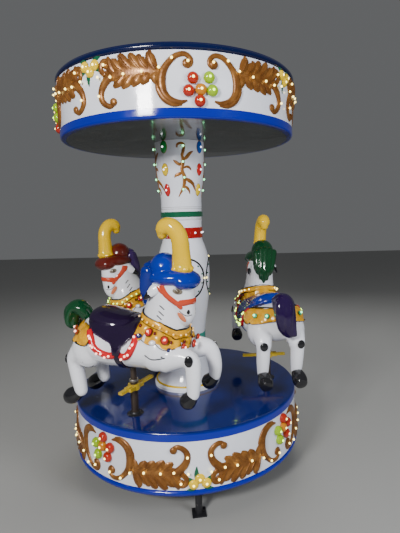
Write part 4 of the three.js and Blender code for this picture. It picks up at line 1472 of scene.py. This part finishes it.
def gland_profile(which):
    low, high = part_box(which + "_gland")
    outer, base, top = (high.x - low.x) / 2, low.z, high.z
    return [
        (GLAND_BORE, base), (outer, base), (outer, base + 0.003), (outer - 0.004, base + 0.005),
        (outer - 0.011, base + 0.005), (outer - 0.012, base + 0.009), (outer - 0.014, top - 0.001),
        (GLAND_BORE + 0.002, top), (GLAND_BORE, top - 0.001), (GLAND_BORE, base),
    ]


def place_posts():
    """Two rings on the deck's gland, and a pale collar where the post steps."""
    step_ring = [(radius, POST_STEP + height) for radius, height in STEP_RING]
    for which in HORSES:
        spot = centre_of(which + "_gland")
        move = Matrix.Translation((spot.x - AXIS.x, spot.y - AXIS.y, 0))
        gland = turned(which + "_gland_rings", gland_profile(which), "black_steel", 48)
        gland.data.transform(move)
        assign(gland, "turntable", node=which + "_gland")
        ring = turned(which + "_post_ring", step_ring, "pale_steel", 40)
        ring.data.transform(move)
        assign(ring, which + "_mount")


def place_footrests():
    """Ribs at both ends of each footrest's pad."""
    for which in HORSES:
        top = (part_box(which + "_footrest")[1].z - DECK_Z) / MM
        middles = [(0, RIB_PITCH * k, top - RIB_SUNK) for k in RIB_ROWS]
        ribs = [ball("rib", middle, RIB_RADII, "tread_yellow", 6) for middle in middles]
        tread = join(ribs, which + "_tread_ribs")
        tread.data.transform(horse_place(which))
        assign(tread, which + "_mount")


def dress_nodes():
    """Finishes for the CAD nodes that stay."""
    looks = {"canopy_soffit": "soffit_grey", "chassis": "black_steel", "turntable_frame": "black_steel"}
    looks.update({"leg_%d" % k: "black_steel" for k in (1, 2, 3, 4)})
    for which in HORSES:
        looks[which + "_post"] = "post_steel"
        looks[which + "_footrest"] = "tread_yellow"
    for node, look in looks.items():
        shown = frame["nodes"][node]
        for piece in shown if isinstance(shown, list) else [shown]:
            paint(piece, look)


# The three horses

STANDS_FOR = {
    "body": "horse", "hat_soft": "hat", "feather": "plume", "saddle_pad": "saddle", "collar_gold": "collar",
    "tail_locks": "tail",
}
# The finish that a piece is modelled in, and its finishes on the front, right and back horse
TRIM = {
    "hat_blue": ("hat_blue", "hat_green", "hat_brown"),
    "mane_blue": ("mane_blue", "hat_green", "mane_purple"),
    "saddle_purple": ("saddle_purple", "saddle_blue", "saddle_green"),
    "tail_green": ("tail_green", "tail_purple", "tail_blue"),
    "led_garland": ("led_red", "led_lime", "led_warm"),
    "led_collar": ("led_faint", "led_warm", "led_lime"),
    "led_rump": ("led_red", "led_mint", "led_warm"),
    "stone_rump": ("stone_rump", "stone_green", "stone_green"),
}


def model_horse():
    """All the pieces of one horse, by name."""
    body = horse_body()
    trunk = fuse(trunk_parts(), "trunk", TRUNK_VOXEL, 6)
    skin, legless = Skin(body), Skin(trunk)
    pieces = {
        "body": body, "hat_soft": hat("hat_blue"), "feather": plume(), "saddle_pad": saddle("saddle_purple"),
        "collar_gold": collar(legless), "tail_locks": tail(TAIL, "tail_green"),
        "rump_band": rump_band(),
    }
    on_saddle, on_collar = Skin(pieces["saddle_pad"]), Skin(trunk, pieces["collar_gold"])
    on_crupper = Skin(body, pieces["rump_band"])
    pieces.update({
        "mane": mane("mane_blue"), "hooves": hooves(), "ears": ears(),
        "saddle_piping": saddle_piping(on_saddle), "collar_trim": collar_trim(on_collar),
        "garlands": garlands(skin), "rump_trim": rump_trim(on_crupper), "bridle": bridle(skin),
        "paintwork": paintwork(skin), "face": face(skin),
    })
    lights = collar_leds(on_collar) + garland_leds(skin) + rump_leds(on_crupper)
    pieces["lights"] = join(lights, "lights")
    discard(trunk)
    return pieces


def place_horses():
    pieces = model_horse()
    bob = tail(BOB_TAIL, "tail_green")
    for k, which in enumerate(HORSES):
        recolour = {FINISHES[modelled].name: FINISHES[looks[k]] for modelled, looks in TRIM.items()}
        for name, piece in pieces.items():
            source = bob if (which, name) == ("front", "tail_locks") else piece
            twin = copy_to(source, which + "_" + name, horse_place(which))
            for slot in twin.material_slots:
                slot.material = recolour.get(slot.material.name, slot.material)
            if name in STANDS_FOR:
                assign(twin, which + "_mount", node=which + "_" + STANDS_FOR[name])
            else:
                assign(twin, which + "_mount")
    for piece in (*pieces.values(), bob):
        discard(piece)


place_shells()
place_bands()
place_reliefs()
place_column_ornament()
place_posts()
place_footrests()
dress_nodes()
place_horses()

# Floor and lights

LOW_AIM, HIGH_AIM = (0, 0, 0.9), (0, 0, 1.0)
PLAIN_WHITE = (1, 1, 1)
WORLD_COLOUR, WORLD_STRENGTH = (0.78, 0.80, 0.82), 0.16
# Place, aim, size, power, colour and whether gloss mirrors it
LIGHTS = {
    "key": ((-1.3, -3.6, 2.5), LOW_AIM, (0.8, 0.6), 160, (1.0, 0.99, 0.98), True),
    "fill": ((2.6, -2.3, 1.9), LOW_AIM, (1.2, 1.6), 80, (0.94, 0.96, 1.0), False),
    "rim": ((0.6, 3.2, 3.0), HIGH_AIM, (2.4, 1.2), 60, PLAIN_WHITE, False),
    "top": ((0, 0, 4.2), (0, 0, 0), (2.5, 2.5), 35, PLAIN_WHITE, False),
}


def place_floor():
    deselect()
    bpy.ops.mesh.primitive_plane_add(size=24, location=(0, 0, -0.0005))
    floor = bpy.context.object
    floor.name = "floor"
    paint(floor, "floor_pale")


def area_light(name, place, aim, size, power, colour, mirrored_in_gloss):
    data = bpy.data.lights.new(name, "AREA")
    data.shape = "RECTANGLE"
    data.size, data.size_y = size
    data.energy = power
    data.color = colour
    light = bpy.data.objects.new(name, data)
    light.visible_glossy = mirrored_in_gloss
    light.location = place
    light.rotation_euler = (Vector(aim) - Vector(place)).to_track_quat("-Z", "Y").to_euler()
    bpy.context.scene.collection.objects.link(light)


place_floor()
for name, row in LIGHTS.items():
    area_light(name, *row)

world = bpy.data.worlds.new("studio")
world.use_nodes = True
background = world.node_tree.nodes["Background"]
background.inputs["Color"].default_value = rgba(WORLD_COLOUR)
background.inputs["Strength"].default_value = WORLD_STRENGTH
bpy.context.scene.world = world
